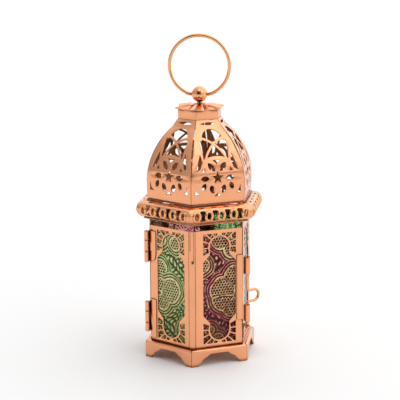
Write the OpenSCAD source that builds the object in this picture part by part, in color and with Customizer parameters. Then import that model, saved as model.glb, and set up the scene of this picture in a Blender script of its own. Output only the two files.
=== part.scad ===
// Six-sided candle lantern of pierced copper-coloured sheet with pressed glass panes.
// Millimetres, +Z up, origin at the middle of the base on the ground.
// The six corners point to -90, -30, 30, 90, 150 and 210 degrees about Z. The two front sides
// are one door, hinged at the 210 degree corner and bolted at the -30 degree corner.

/* [Body] */
// Corner radius of the lantern body
body_r = 35.3; // [34:0.1:37]
// Thickness of the sheet metal
sheet_t = 0.6; // [0.5:0.1:0.8]
// Height of the underside of the head plate, where the side panels end
panel_top = 93.2; // [92:0.1:94]

/* [Base] */
// Corner radius of the base tray
base_r = 38.8; // [38:0.1:40]
// Height of the top of the base tray
base_h = 11; // [10:0.5:11]
// Thickness of the base tray's sheet
base_t = 0.8; // [0.6:0.1:1]
// Half the width of the arch between two feet
arch_half_w = 14.5; // [13:0.1:15]
// Height of the arch between two feet
arch_h = 7.8; // [7:0.1:8]

/* [Windows] */
// Half the width of a window
window_half_w = 11.2; // [10.5:0.1:11.5]
// Radius of the arch at each end of a window
arch_r = 6.7; // [6:0.1:7]
// Width of the rim that borders the arch
rim_w = 1.1; // [0.8:0.1:1.3]
// Height of a window's middle
window_mid_z = 50; // [49.8:0.1:50.5]

/* [Glass] */
// Thickness of a glass pane
pane_t = 2; // [1.6:0.1:2.2]
// Half the width of a glass pane
pane_half_w = 13.3; // [12.5:0.1:13.5]

/* [Door] */
// Height of the door's lower edge
door_z0 = 11.4; // [11.3:0.1:11.8]
// Height of the door's upper edge
door_z1 = 88.6; // [87.5:0.1:89]
// Outer radius of the bend down the middle of the door
bend_r = 4; // [3:0.5:5]
// Radius of a hinge knuckle
knuckle_r = 1.5; // [1.4:0.1:1.6]
// Radius of a hinge pin
hinge_pin_r = 0.75; // [0.6:0.05:0.8]

/* [Latch] */
// Radius of the bolt's wire
bolt_r = 0.9; // [0.8:0.05:0.95]
// Radius of the two barrels that guide the bolt
barrel_r = 1.75; // [1.6:0.05:1.8]
// How far the finger loop reaches from the bolt
loop_reach = 9.8; // [8:0.1:9.8]

/* [Candle] */
// Inner radius of the cup that holds a tealight
cup_r = 19.75; // [19.5:0.05:20.5]
// Height of the cup's wall
cup_wall_h = 7.6; // [6:0.1:9]

/* [Gallery] */
// Radius of the half-round bead below the dome
bead_r = 5.85; // [5.7:0.05:6]
// Distance of the bead's middle from the lantern's axis
bead_a = 32.67; // [32.5:0.01:32.8]
// Height of the bead's middle
bead_z = 99.54; // [99.5:0.01:99.6]

/* [Dome] */
// Radius of the dome's main curve, seen from the side
dome_curve_r = 46.5; // [46:0.1:47]
// Radius of the dome's low, nearly upright curve
skirt_curve_r = 116; // [110:1:120]
// Distance from the axis to a dome side where it is widest
dome_a = 31.7; // [31.5:0.1:31.8]

/* [Top] */
// Corner radius of the collar
collar_r = 14.9; // [14.5:0.1:15.2]
// Radius of the flower-shaped cap
flower_r = 16.9; // [15:0.1:17.5]
// Radius of the ball
ball_r = 5.1; // [4.8:0.1:5.4]
// Radius of the carrying ring's centre line
ring_r = 19.4; // [18:0.1:19.5]
// Radius of the carrying ring's wire
wire_r = 1.1; // [1:0.05:1.2]

/* [Hidden] */
$fn = 64;

COPPER = "#e8a070";
DARK_COPPER = "#c98758";
RED_GLASS = "#8a2433";
GREEN_GLASS = "#8fb878";
CLEAR_GLASS = "#b9c4c8";

// Directions in which the six sides face, in degrees about Z
FRONT_RIGHT = -60;
RIGHT = 0;
BACK_RIGHT = 60;
BACK_LEFT = 120;
LEFT = 180;
FRONT_LEFT = 240;

TAN30 = tan(30);
body_a = body_r * cos(30);
inner_a = body_a - sheet_t;
base_a = base_r * cos(30);
glass_gap = 0.07;
pane_a = inner_a - glass_gap;
seam_gap = 0.05;
end_gap = 0.45;
panel_end = body_r / 2 - end_gap;
door_left_end = body_r / 2 - 0.85;
door_right_end = body_r / 2 - 0.65;
run_gap = 0.06;
reach = 60;

// Window heights, measured up and down from its middle
straight_half_h = 17.6;
neck_half_h = 22.5;
arch_mid_h = 27.5;
window_half_h = 36.3;

// Hinge: axis just outside the corner, and each hinge's heights from bottom to top
hinge_r = 37.3;
hinge_pos = [hinge_r * cos(210), hinge_r * sin(210)];
leaf_gap = 0.15;
UPPER_KNUCKLES = [64.1, 71.3, 78.9, 84.6];
LOWER_KNUCKLES = [17.1, 23.3, 31.2, 37.3];

// Latch: axis in the front-right side's own frame, then in the lantern's frame
latch_out = 32;
latch_side = 20.3;
latch_pos = [
    latch_out * cos(FRONT_RIGHT) - latch_side * sin(FRONT_RIGHT),
    latch_out * sin(FRONT_RIGHT) + latch_side * cos(FRONT_RIGHT)
];
LOWER_BARREL = [26.2, 37.5];
UPPER_BARREL = [57.7, 69.5];
bolt_z0 = 21.2;
bolt_z1 = 68.8;
loop_z0 = 39.4;
loop_z1 = 46.9;
loop_turn = 45;
keeper_z = 22.7;

// Gallery and dome heights
bead_top = [31.2, 105.2];
bead_foot = [33.8, 93.8];
dome_z0 = 105.8;
widest_z = 117;
shoulder_z = 151.6;
collar_z0 = 156.6;
collar_z1 = 162.3;
dome_mid_a = dome_a - dome_curve_r;
skirt_mid_a = dome_a - skirt_curve_r;
shoulder_a = dome_mid_a + sqrt(pow(dome_curve_r, 2) - pow(shoulder_z - widest_z, 2));
collar_a = collar_r * cos(30);
ball_z = 171.5;
ring_mid_z = 189.7;
stem_r = 1.5;
pivot_r = wire_r - 0.1;

// ---------- helpers ----------

// Turns a piece that is drawn facing +X to the side that faces the given direction
module on_side(direction) {
    rotate([0, 0, direction]) children();
}

// The place on a side at a distance from the axis and a distance along the side
function side_point(direction, away, along) = [
    away * cos(direction) - along * sin(direction),
    away * sin(direction) + along * cos(direction)
];

// Stands a flat outline up: its x runs along the side, its y is height, and it is cut outwards
module upright(from, depth) {
    translate([from, 0, 0]) rotate([90, 0, 90]) linear_extrude(depth) children();
}

// Sweeps an outline of distance and height along the side
module along_side(length) {
    rotate([90, 0, 0]) linear_extrude(length, center = true) children();
}

// Everything between the two mitre planes of a side
module side_wedge(z0, z1) {
    half = reach * TAN30;
    translate([0, 0, z0]) linear_extrude(z1 - z0)
        polygon([[seam_gap / sin(30), 0], [reach, seam_gap - half], [reach, half - seam_gap]]);
}

// A hexagon whose corners are at the lantern's corners
module hexagon(r) {
    rotate(30) circle(r = r, $fn = 6);
}

// A pointed oval: where two equal circles cross
module pointed_oval(length, width) {
    r = (pow(length / 2, 2) + pow(width / 2, 2)) / width;
    intersection() {
        translate([0, r - width / 2]) circle(r = r);
        translate([0, width / 2 - r]) circle(r = r);
    }
}

// A slot with round ends that stands upright
module round_slot(width, height) {
    straight = height - width;
    for (end = [-1, 1]) translate([0, end * straight / 2]) circle(d = width);
    translate([-width / 2, -straight / 2]) square([width, straight]);
}

module mirrored_pair() {
    children();
    mirror([1, 0]) children();
}

// ---------- window outline ----------

// One half of the keyhole opening, from the middle up
module keyhole_half() {
    polygon([
        [-window_half_w, 0], [window_half_w, 0], [window_half_w, straight_half_h],
        [arch_r, neck_half_h], [arch_r, arch_mid_h],
        [-arch_r, arch_mid_h], [-arch_r, neck_half_h], [-window_half_w, straight_half_h]
    ]);
    translate([0, arch_mid_h]) circle(r = arch_r);
}

// The rays cut between the arch's rim and the window's square corner
module sun_rays() {
    rays = [[-24, -5], [0, 18], [23, 40], [45, 59], [64, 79]];
    far = 16;
    difference() {
        intersection() {
            translate([-window_half_w, straight_half_h])
                square([2 * window_half_w, window_half_h - straight_half_h]);
            translate([0, arch_mid_h]) mirrored_pair()
                for (ray = rays) polygon([
                    [0, 0],
                    far * [cos(ray[0]), sin(ray[0])],
                    far * [cos(ray[1]), sin(ray[1])]
                ]);
        }
        translate([0, arch_mid_h]) circle(r = arch_r + rim_w);
    }
}

module window_outline() {
    for (end = [0, 1]) mirror([0, end]) {
        keyhole_half();
        sun_rays();
    }
}

module window_cut(shift) {
    upright(inner_a - 1, sheet_t + 2)
        translate([shift, window_mid_z]) window_outline();
}

// ---------- base ----------

// The opening between two feet: an ogee on each side and a flat top
module foot_arch() {
    polygon([
        [-arch_half_w, -1], [arch_half_w, -1], [arch_half_w, 0.3], [12.4, 2.6],
        [11.4, 4.4], [9.6, 5.5], [7.6, 6.6], [6.2, arch_h],
        [-6.2, arch_h], [-7.6, 6.6], [-9.6, 5.5], [-11.4, 4.4],
        [-12.4, 2.6], [-arch_half_w, 0.3]
    ]);
}

module base_tray() {
    color(COPPER) {
        translate([0, 0, base_h - base_t]) linear_extrude(base_t) hexagon(base_r);
        for (direction = [0 : 60 : 300]) on_side(direction) intersection() {
            side_wedge(0, base_h - base_t / 2);
            difference() {
                translate([base_a - base_t, -base_r / 2, 0]) cube([base_t, base_r, base_h - base_t / 2]);
                upright(base_a - base_t - 1, base_t + 2) foot_arch();
            }
        }
    }
}

// A low cup that keeps a tealight in the middle of the floor
module candle_cup() {
    wall = 0.6;
    color(DARK_COPPER) translate([0, 0, base_h]) difference() {
        cylinder(r = cup_r + wall, h = cup_wall_h + wall);
        translate([0, 0, wall]) cylinder(r = cup_r, h = cup_wall_h + 1);
    }
}

// ---------- side panels, door and glass ----------

// A plain side of sheet metal between two places along the side
module side_sheet(y0, y1, z0, z1) {
    intersection() {
        side_wedge(z0, z1);
        translate([inner_a, y0, z0]) cube([sheet_t, y1 - y0, z1 - z0]);
    }
}

module side_panel(direction, y0, y1) {
    color(COPPER) on_side(direction) difference() {
        side_sheet(y0, y1, base_h, panel_top);
        window_cut(0);
    }
}
module side_panel_right() { side_panel(RIGHT, -panel_end, body_r); }
module side_panel_back_right() { side_panel(BACK_RIGHT, -body_r, body_r); }
module side_panel_back_left() { side_panel(BACK_LEFT, -body_r, body_r); }
module side_panel_left() { side_panel(LEFT, -body_r, panel_end); }

door_right_shift = 1.4;
door_left_shift = 0.3;

// A filled slice across both door sides: flat faces that meet in a round bend
module door_profile(face, back, bend, right_end, left_end) {
    tangent = (body_a - bend_r) * TAN30;
    polygon([
        side_point(FRONT_RIGHT, face, -tangent),
        side_point(FRONT_RIGHT, face, right_end),
        side_point(FRONT_RIGHT, back, right_end),
        side_point(FRONT_LEFT, back, -left_end),
        side_point(FRONT_LEFT, face, -left_end),
        side_point(FRONT_LEFT, face, tangent)
    ]);
    translate([0, -(body_a - bend_r) / cos(30)]) circle(r = bend);
}

// One bent sheet with a window in each side; the bend stands out as a slight bead
module door_sheet() {
    bead = 0.05;
    color(COPPER) difference() {
        translate([0, 0, door_z0]) linear_extrude(door_z1 - door_z0) difference() {
            door_profile(body_a, inner_a - 1, bend_r + bead, door_right_end, door_left_end);
            door_profile(inner_a, inner_a - 2, bend_r - sheet_t + bead, body_r, body_r);
        }
        on_side(FRONT_RIGHT) window_cut(door_right_shift);
        on_side(FRONT_LEFT) window_cut(door_left_shift);
    }
}

pane_z0 = 12.6;
pane_z1 = 87.6;

module pane(direction, shift, tint) {
    color(tint, 0.6) on_side(direction)
        translate([pane_a - pane_t, shift - pane_half_w, pane_z0])
            cube([pane_t, 2 * pane_half_w, pane_z1 - pane_z0]);
}
module pane_front_right() { pane(FRONT_RIGHT, 0.8, RED_GLASS); }
module pane_right() { pane(RIGHT, 0, CLEAR_GLASS); }
module pane_back_right() { pane(BACK_RIGHT, 0, GREEN_GLASS); }
module pane_back_left() { pane(BACK_LEFT, 0, RED_GLASS); }
module pane_left() { pane(LEFT, 0, CLEAR_GLASS); }
module pane_front_left() { pane(FRONT_LEFT, 0.3, GREEN_GLASS); }

// Four small angle clips that hold one pane against its sheet
module pane_clips(direction, shift) {
    clip_t = 0.5;
    clip_h = 5;
    lip = 1.8;
    back = pane_a - pane_t - glass_gap - clip_t;
    on_side(direction) translate([0, shift, 0]) for (side = [-1, 1], z = [28, 72])
        scale([1, side, 1]) translate([back, pane_half_w + glass_gap, z - clip_h / 2]) {
            cube([inner_a - back, clip_t, clip_h]);
            translate([0, -lip, 0]) cube([clip_t, lip + clip_t, clip_h]);
        }
}
module body_pane_clips() {
    color(DARK_COPPER) for (direction = [RIGHT, BACK_RIGHT, BACK_LEFT, LEFT]) pane_clips(direction, 0);
}
module door_pane_clips() {
    color(DARK_COPPER) {
        pane_clips(FRONT_RIGHT, 0.8);
        pane_clips(FRONT_LEFT, 0.3);
    }
}

// Flat ring that ties the side panels together and closes the door's head
module head_plate() {
    opening_r = (inner_a - 0.9) / cos(30);
    color(COPPER) translate([0, 0, panel_top]) linear_extrude(bead_foot[1] - panel_top) difference() {
        hexagon(bead_foot[0] / cos(30));
        hexagon(opening_r);
    }
}

// ---------- gallery ----------

loop_pitch = 8.3;
loop_hole = [2.4, 4.6];
gap_hole = [3.3, 7.6];
top_slot = [1.2, 3.2];
top_slot_in = 1.5;

// Round holes in the loops and tall slots between them
module gallery_holes() {
    for (i = [-2 : 2]) translate([i * loop_pitch, bead_z]) round_slot(loop_hole[0], loop_hole[1]);
    for (i = [-1.5 : 1 : 1.5]) translate([i * loop_pitch, bead_z]) round_slot(gap_hole[0], gap_hole[1]);
}

// Half-round bead of one side, open towards the inside
module gallery(direction) {
    color(COPPER) on_side(direction) difference() {
        intersection() {
            side_wedge(bead_foot[1], bead_top[1]);
            along_side(reach) difference() {
                intersection() {
                    translate([bead_a, bead_z]) circle(r = bead_r);
                    polygon([bead_foot, [reach, bead_foot[1]], [reach, bead_top[1]], bead_top]);
                }
                translate([bead_a, bead_z]) circle(r = bead_r - sheet_t);
            }
        }
        upright(bead_a + 1, 2 * bead_r) gallery_holes();
        for (i = [-1.5 : 1 : 1.5])
            translate([bead_a + top_slot_in, i * loop_pitch - top_slot[1] / 2, bead_z + 3])
                cube([top_slot[0], top_slot[1], bead_r]);
    }
}
module gallery_front_right() { gallery(FRONT_RIGHT); }
module gallery_right() { gallery(RIGHT); }
module gallery_back_right() { gallery(BACK_RIGHT); }
module gallery_back_left() { gallery(BACK_LEFT); }
module gallery_left() { gallery(LEFT); }
module gallery_front_left() { gallery(FRONT_LEFT); }

// ---------- dome ----------

// Flat ring between the gallery and the dome
module dome_flange() {
    color(COPPER) translate([0, 0, bead_top[1]]) linear_extrude(dome_z0 - bead_top[1]) difference() {
        hexagon(body_r + 1.3);
        hexagon(body_r - 3);
    }
}

// Side view of the space inside the dome's skin, thinned by t
module dome_section(t) {
    intersection() {
        translate([skirt_mid_a, widest_z]) circle(r = skirt_curve_r - t, $fn = 128);
        translate([0, dome_z0]) square([reach, widest_z - dome_z0]);
    }
    intersection() {
        translate([dome_mid_a, widest_z]) circle(r = dome_curve_r - t, $fn = 128);
        translate([0, widest_z]) square([reach, shoulder_z - widest_z]);
    }
    polygon([
        [0, shoulder_z], [shoulder_a - 1.3 * t, shoulder_z], [collar_a - 1.2 * t, collar_z0], [0, collar_z0]
    ]);
}

// Star with five points
module star(r) {
    polygon([for (i = [0 : 9]) (i % 2 == 0 ? r : 0.42 * r) * [cos(90 + 36 * i), sin(90 + 36 * i)]]);
}

// A rib that follows part of a circle
module rib_arc(middle, r, width) {
    translate(middle) difference() {
        circle(r = r + width / 2);
        circle(r = r - width / 2);
    }
}

// Arched window crossed by two curved ribs, with a flat bow below them
module crossed_window() {
    rib_w = 1.4;
    difference() {
        union() {
            translate([0, 144]) circle(r = 7.3);
            polygon([[-8.3, 133], [8.3, 133], [8.9, 144.8], [-8.9, 144.8]]);
        }
        rib_arc([-13.3, 125], 22.2, rib_w);
        rib_arc([13.3, 125], 22.2, rib_w);
        translate([0, 115.5]) circle(r = 20.2);
    }
}

// All the openings of a dome side: x runs along the side and y is height
module dome_holes() {
    crossed_window();
    translate([0, 154.3]) pointed_oval(11, 1.6);
    polygon([[-2.6, 133.4], [2.6, 133.4], [0, 130.8]]);
    translate([0, 122.4]) star(4.1);
    mirrored_pair() {
        polygon([[10.4, 137.2], [9.7, 132.5], [11.4, 128.2], [13.9, 126.6], [12.7, 131.4]]);
        polygon([[9, 128.8], [10.6, 126.4], [8.4, 126.4]]);
        translate([3.9, 129.1]) rotate(54) pointed_oval(6.6, 3.4);
        translate([8.5, 122.2]) pointed_oval(5.8, 3.4);
        translate([3.8, 115.2]) rotate(72) pointed_oval(5.6, 3.4);
        translate([9.3, 117]) rotate(112) pointed_oval(5, 3);
        polygon([[12.4, 112.2], [15.6, 112.2], [15.2, 117.6], [14.4, 114.4]]);
    }
    polygon([[-2.4, 110.8], [2.4, 110.8], [0, 112.8]]);
}

module dome_panel(direction) {
    color(COPPER) on_side(direction) difference() {
        intersection() {
            side_wedge(dome_z0, collar_z0);
            along_side(reach) difference() {
                dome_section(0);
                dome_section(sheet_t);
            }
        }
        upright(8, reach) dome_holes();
    }
}
module dome_panel_front_right() { dome_panel(FRONT_RIGHT); }
module dome_panel_right() { dome_panel(RIGHT); }
module dome_panel_back_right() { dome_panel(BACK_RIGHT); }
module dome_panel_back_left() { dome_panel(BACK_LEFT); }
module dome_panel_left() { dome_panel(LEFT); }
module dome_panel_front_left() { dome_panel(FRONT_LEFT); }

// ---------- top ----------

module collar() {
    color(COPPER) translate([0, 0, collar_z0]) linear_extrude(collar_z1 - collar_z0) difference() {
        hexagon(collar_r);
        hexagon(collar_r - sheet_t / cos(30));
    }
}

cap_z1 = collar_z1 + sheet_t;
pin_hole_r = stem_r + 0.3;

module cap_plate() {
    color(DARK_COPPER) translate([0, 0, collar_z1]) linear_extrude(sheet_t) difference() {
        hexagon(collar_r - 0.2);
        circle(r = pin_hole_r);
    }
}

// Thin flower of six petals that rises from the pin and droops towards its tips
module flower_cap() {
    flower_t = 0.5;
    petal_w = 10.6;
    crest = [5, 165.4];
    tip_z = 163.2;
    color(COPPER) intersection() {
        rotate_extrude() polygon([
            [pin_hole_r, cap_z1], [crest[0], crest[1]], [flower_r, tip_z],
            [flower_r, tip_z + flower_t], [crest[0] - 0.1, crest[1] + flower_t],
            [pin_hole_r, cap_z1 + 1.2 * flower_t]
        ]);
        translate([0, 0, cap_z1 - 1]) linear_extrude(6) {
            circle(r = 5.5);
            for (turn = [30 : 60 : 330]) rotate(turn)
                translate([(flower_r + 1) / 2, 0]) pointed_oval(flower_r - 1, petal_w);
        }
    }
}

// Split pin: a slotted stem whose two legs are bent out flat under the cap plate
module split_pin() {
    leg = [8, 2.4, 1];
    leg_z = collar_z1 - 0.1 - leg[2];
    slot_w = 0.4;
    color(DARK_COPPER) difference() {
        union() {
            translate([0, 0, leg_z]) cylinder(r = stem_r, h = ball_z - 1.6 - leg_z);
            translate([-leg[0], -leg[1] / 2, leg_z]) cube([2 * leg[0], leg[1], leg[2]]);
        }
        translate([-slot_w / 2, -5, leg_z - 1]) cube([slot_w, 10, 5]);
    }
}

module ball_finial() {
    color(COPPER) translate([0, 0, ball_z]) difference() {
        sphere(r = ball_r);
        rotate([0, 90, 0]) cylinder(r = pivot_r + run_gap, h = 3 * ball_r, center = true);
        translate([0, 0, -2 * ball_r]) cylinder(r = stem_r + 0.01, h = 2 * ball_r - 1.5);
    }
}

// Open wire ring whose two ends turn level and pivot in the ball's cross hole
module carry_ring() {
    end_angle = asin((ring_mid_z - ball_z) / ring_r);
    end_lap = 1.5;
    pin_x0 = 2.2;
    pin_x1 = ring_r * cos(end_angle) + 0.6;
    color(COPPER) {
        translate([0, 0, ring_mid_z]) rotate([90, 0, 0]) rotate([0, 0, -end_angle - end_lap])
            rotate_extrude(angle = 180 + 2 * (end_angle + end_lap)) translate([ring_r, 0]) circle(r = wire_r);
        for (side = [0, 1]) mirror([side, 0, 0])
            translate([pin_x0, 0, ball_z]) rotate([0, 90, 0]) cylinder(r = pivot_r, h = pin_x1 - pin_x0);
    }
}

// ---------- hinges ----------

hinge_bore_r = hinge_pin_r + run_gap;

// Upright tube between two heights
module knuckle(z0, z1) {
    translate([hinge_pos[0], hinge_pos[1], z0]) cylinder(r = knuckle_r, h = z1 - z0);
}

module hinge_bore() {
    translate([hinge_pos[0], hinge_pos[1], 0]) cylinder(r = hinge_bore_r, h = 100);
}

// A leaf lies on its sheet from the corner inwards; side is where the corner is
module leaf(direction, side, z0, z1, width, tongues) {
    corner = hinge_r / 2;
    start = body_r / 2 - 0.8;
    on_side(direction) scale([1, side, 1]) {
        translate([body_a, width, z0]) cube([sheet_t, start - width, z1 - z0]);
        for (tongue = tongues) translate([body_a, start - 0.5, tongue[0]])
            cube([sheet_t, corner - start + 0.5, tongue[1] - tongue[0]]);
    }
}

// Door leaf with the middle knuckle
module hinge_door_leaf(heights, z0, z1) {
    tongue = [heights[1] + leaf_gap, heights[2] - leaf_gap];
    color(COPPER) difference() {
        union() {
            leaf(FRONT_LEFT, -1, z0, z1, 12, [tongue]);
            knuckle(tongue[0], tongue[1]);
        }
        hinge_bore();
    }
}

// Body leaf with the outer two knuckles
module hinge_body_leaf(heights) {
    tongues = [[heights[0], heights[1]], [heights[2], heights[3]]];
    color(COPPER) difference() {
        union() {
            leaf(LEFT, 1, heights[0], heights[3], 12, tongues);
            for (tongue = tongues) knuckle(tongue[0], tongue[1]);
        }
        hinge_bore();
    }
}

module hinge_pin(heights) {
    color(DARK_COPPER) translate([hinge_pos[0], hinge_pos[1], heights[0] - 0.4])
        cylinder(r = hinge_pin_r, h = heights[3] - heights[0] + 0.8);
}
module hinge_body_leaf_upper() { hinge_body_leaf(UPPER_KNUCKLES); }
module hinge_body_leaf_lower() { hinge_body_leaf(LOWER_KNUCKLES); }
module hinge_door_leaf_upper() { hinge_door_leaf(UPPER_KNUCKLES, 64.9, 84.8); }
module hinge_door_leaf_lower() { hinge_door_leaf(LOWER_KNUCKLES, 13.3, 39.2); }
module hinge_pin_upper() { hinge_pin(UPPER_KNUCKLES); }
module hinge_pin_lower() { hinge_pin(LOWER_KNUCKLES); }

// ---------- latch ----------

// Plate on the door's free edge, rolled into two barrels
module latch_plate() {
    barrels = [LOWER_BARREL, UPPER_BARREL];
    plate_y = [13.2, 17.6];
    color(COPPER) difference() {
        union() {
            on_side(FRONT_RIGHT) translate([body_a, 0, 0]) {
                translate([0, plate_y[0], 27.8]) cube([sheet_t, plate_y[1] - plate_y[0], 43.1]);
                for (barrel = barrels) translate([0, plate_y[1] - 1, barrel[0]])
                    cube([sheet_t, latch_side - plate_y[1] + 0.5, barrel[1] - barrel[0]]);
            }
            for (barrel = barrels) translate([latch_pos[0], latch_pos[1], barrel[0]])
                cylinder(r = barrel_r, h = barrel[1] - barrel[0]);
        }
        translate([latch_pos[0], latch_pos[1], 0]) cylinder(r = bolt_r + run_gap, h = 100);
    }
}

// Quarter turn of wire in the loop's upright plane, starting downwards
module wire_turn(middle, r, start, sweep) {
    translate([middle[0], 0, middle[1]]) rotate([90, 0, 0]) rotate([0, 0, start])
        rotate_extrude(angle = sweep) translate([r, 0]) circle(r = bolt_r);
}

// Wire bolt: a straight foot, a finger loop turned outwards, and a straight top
module latch_bolt() {
    turn_r = 1.4;
    half_h = (loop_z1 - loop_z0) / 2;
    bow_x = loop_reach - bolt_r - half_h;
    mid_z = (loop_z0 + loop_z1) / 2;
    color(COPPER) translate([latch_pos[0], latch_pos[1], 0]) rotate([0, 0, loop_turn]) {
        translate([0, 0, bolt_z0]) cylinder(r = bolt_r, h = loop_z0 - turn_r - bolt_z0);
        wire_turn([turn_r, loop_z0 - turn_r], turn_r, 90, 90);
        for (z = [loop_z0, loop_z1]) translate([turn_r, 0, z]) rotate([0, 90, 0])
            cylinder(r = bolt_r, h = bow_x - turn_r);
        wire_turn([bow_x, mid_z], half_h, -90, 180);
        wire_turn([turn_r, loop_z1 + turn_r], turn_r, 180, 90);
        translate([0, 0, loop_z1 + turn_r]) cylinder(r = bolt_r, h = bolt_z1 - loop_z1 - turn_r);
    }
}

// Angle on the right side with the hole that the bolt's foot drops into
module latch_keeper() {
    eye_r = 1.8;
    color(COPPER) {
        translate([body_a, -16.9, 14.5]) cube([sheet_t, 4.6, keeper_z - 14.5 + sheet_t]);
        translate([0, 0, keeper_z]) linear_extrude(sheet_t) difference() {
            union() {
                polygon([[body_a, -16.9], [body_a, -12.3], [34.8, -16.2], [32.6, -18.6]]);
                translate(latch_pos) circle(r = eye_r);
            }
            translate(latch_pos) circle(r = bolt_r + 0.25);
        }
    }
}

// ---------- drawing ----------

base_tray();
candle_cup();
side_panel_right();
side_panel_back_right();
side_panel_back_left();
side_panel_left();
pane_front_right();
pane_right();
pane_back_right();
pane_back_left();
pane_left();
pane_front_left();
body_pane_clips();
door_pane_clips();
head_plate();
gallery_front_right();
gallery_right();
gallery_back_right();
gallery_back_left();
gallery_left();
gallery_front_left();
dome_flange();
dome_panel_front_right();
dome_panel_right();
dome_panel_back_right();
dome_panel_back_left();
dome_panel_left();
dome_panel_front_left();
collar();
cap_plate();
flower_cap();
split_pin();
ball_finial();
carry_ring();
door_sheet();
latch_plate();
latch_bolt();
latch_keeper();
hinge_body_leaf_upper();
hinge_body_leaf_lower();
hinge_door_leaf_upper();
hinge_door_leaf_lower();
hinge_pin_upper();
hinge_pin_lower();
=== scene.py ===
# %% [markdown]
# # A pierced candle lantern
# This lesson dresses a packed model of a six-sided candle lantern. The model already fixes every
# size and every joint, so each step here asks the same three things: what is this piece on the
# real lantern, how could it be made in Blender, and which way suits it best.
# All lengths in the script are millimetres until the moment a piece is put in place.

# %% Load the model
import math

import bmesh
import bpy
import numpy as np
from mathutils import Matrix, Vector


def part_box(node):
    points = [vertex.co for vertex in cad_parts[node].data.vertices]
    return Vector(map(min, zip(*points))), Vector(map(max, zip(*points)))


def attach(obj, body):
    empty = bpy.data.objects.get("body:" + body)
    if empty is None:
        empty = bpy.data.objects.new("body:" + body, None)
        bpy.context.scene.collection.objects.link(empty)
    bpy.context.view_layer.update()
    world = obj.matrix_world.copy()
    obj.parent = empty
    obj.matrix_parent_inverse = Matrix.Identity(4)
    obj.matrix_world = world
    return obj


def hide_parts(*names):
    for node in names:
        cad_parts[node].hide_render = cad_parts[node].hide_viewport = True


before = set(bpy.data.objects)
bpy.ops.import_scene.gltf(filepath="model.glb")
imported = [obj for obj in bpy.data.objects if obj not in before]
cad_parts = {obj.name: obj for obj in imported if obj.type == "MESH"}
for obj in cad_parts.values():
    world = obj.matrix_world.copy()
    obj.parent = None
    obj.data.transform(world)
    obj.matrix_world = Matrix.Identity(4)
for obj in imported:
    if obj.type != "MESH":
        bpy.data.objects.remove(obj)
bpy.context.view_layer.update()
MM = 0.001

# %% [markdown]
# ## Sizes
# The model's boxes give the driving sizes. A side that faces +X is the easiest to read: its box
# starts and ends at its two skins. Every other side is the same piece turned about Z, so one
# table of directions is enough for the whole lantern.

# %% Read the sizes
SIDES = {
    "front_right": -60,
    "right": 0,
    "back_right": 60,
    "back_left": 120,
    "left": 180,
    "front_left": 240,
}
BODY = "lantern_body"
TAN30 = math.tan(math.radians(30))


def box_mm(node):
    low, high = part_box(node)
    return low / MM, high / MM


panel_low, panel_high = box_mm("side_panel_right")
BODY_A = panel_high.x
SHEET = panel_high.x - panel_low.x
BASE_A = box_mm("base_tray")[1].x
BASE_H = box_mm("base_tray")[1].z
DOOR_Z = (box_mm("door_sheet")[0].z, box_mm("door_sheet")[1].z)
print(f"side at {BODY_A:.2f} mm, sheet {SHEET:.2f} mm, base {BASE_A:.2f} mm and {BASE_H:.1f} mm high")

# %% [markdown]
# ## Arithmetic that draws materials
# A material is a small graph of nodes. Wiring it by hand hides the idea, so a signal class wraps
# a node's output: adding or multiplying signals adds the Math nodes, and one method makes every
# other kind of node from its settings and inputs.


# %% The signal class
class Signal:
    """A value that flows through one material."""

    def __init__(self, tree, socket=None):
        self.tree = tree
        self.socket = socket

    def node(self, kind, settings=None, inputs=None, output=0):
        made = self.tree.nodes.new(kind)
        for name, value in (settings or {}).items():
            if name == "stops":
                self.set_stops(made.color_ramp, value)
            else:
                setattr(made, name, value)
        for name, value in (inputs or {}).items():
            self.feed(made.inputs[name], value)
        return Signal(self.tree, made.outputs[output])

    def feed(self, socket, value):
        if isinstance(value, Signal):
            self.tree.links.new(value.socket, socket)
        else:
            socket.default_value = value

    @staticmethod
    def set_stops(ramp, stops):
        while len(ramp.elements) < len(stops):
            ramp.elements.new(0.5)
        for element, (place, colour) in zip(ramp.elements, stops):
            element.position = place
            element.color = (*colour, 1)

    def math(self, operation, first, second):
        return self.node("ShaderNodeMath", {"operation": operation}, {0: first, 1: second})

    def __add__(self, other):
        return self.math("ADD", self, other)

    def __sub__(self, other):
        return self.math("SUBTRACT", self, other)

    def __rsub__(self, other):
        return self.math("SUBTRACT", other, self)

    def __mul__(self, other):
        return self.math("MULTIPLY", self, other)

    def __pow__(self, other):
        return self.math("POWER", self, other)

    __radd__ = __add__
    __rmul__ = __mul__

    def clamped(self):
        return self.node("ShaderNodeClamp", None, {"Value": self})

    def blend(self, low, high):
        """A colour that goes from low to high as this signal goes from 0 to 1."""
        return self.node(
            "ShaderNodeMix", {"data_type": "RGBA"}, {"Factor": self, 6: low, 7: high}, output=2
        )


print("a signal can:", [name for name in vars(Signal) if not name.startswith("__")])

# %% [markdown]
# ## A material to start from
# Each finish starts as an empty material with one Principled shader. What is the same all over
# goes straight onto the shader's own sockets; only what changes over the surface is a signal.


# %% Start a material
def new_material(name, plain, varying):
    """Makes a material; varying(paint) returns the sockets that change over the surface."""
    material = bpy.data.materials.new(name)
    material.use_nodes = True
    tree = material.node_tree
    shader = tree.nodes["Principled BSDF"]
    paint = Signal(tree)
    for socket, value in plain.items():
        paint.feed(shader.inputs[socket], value)
    for socket, value in varying(paint).items():
        paint.feed(shader.inputs[socket], value)
    print("finish:", name)
    return material


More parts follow.
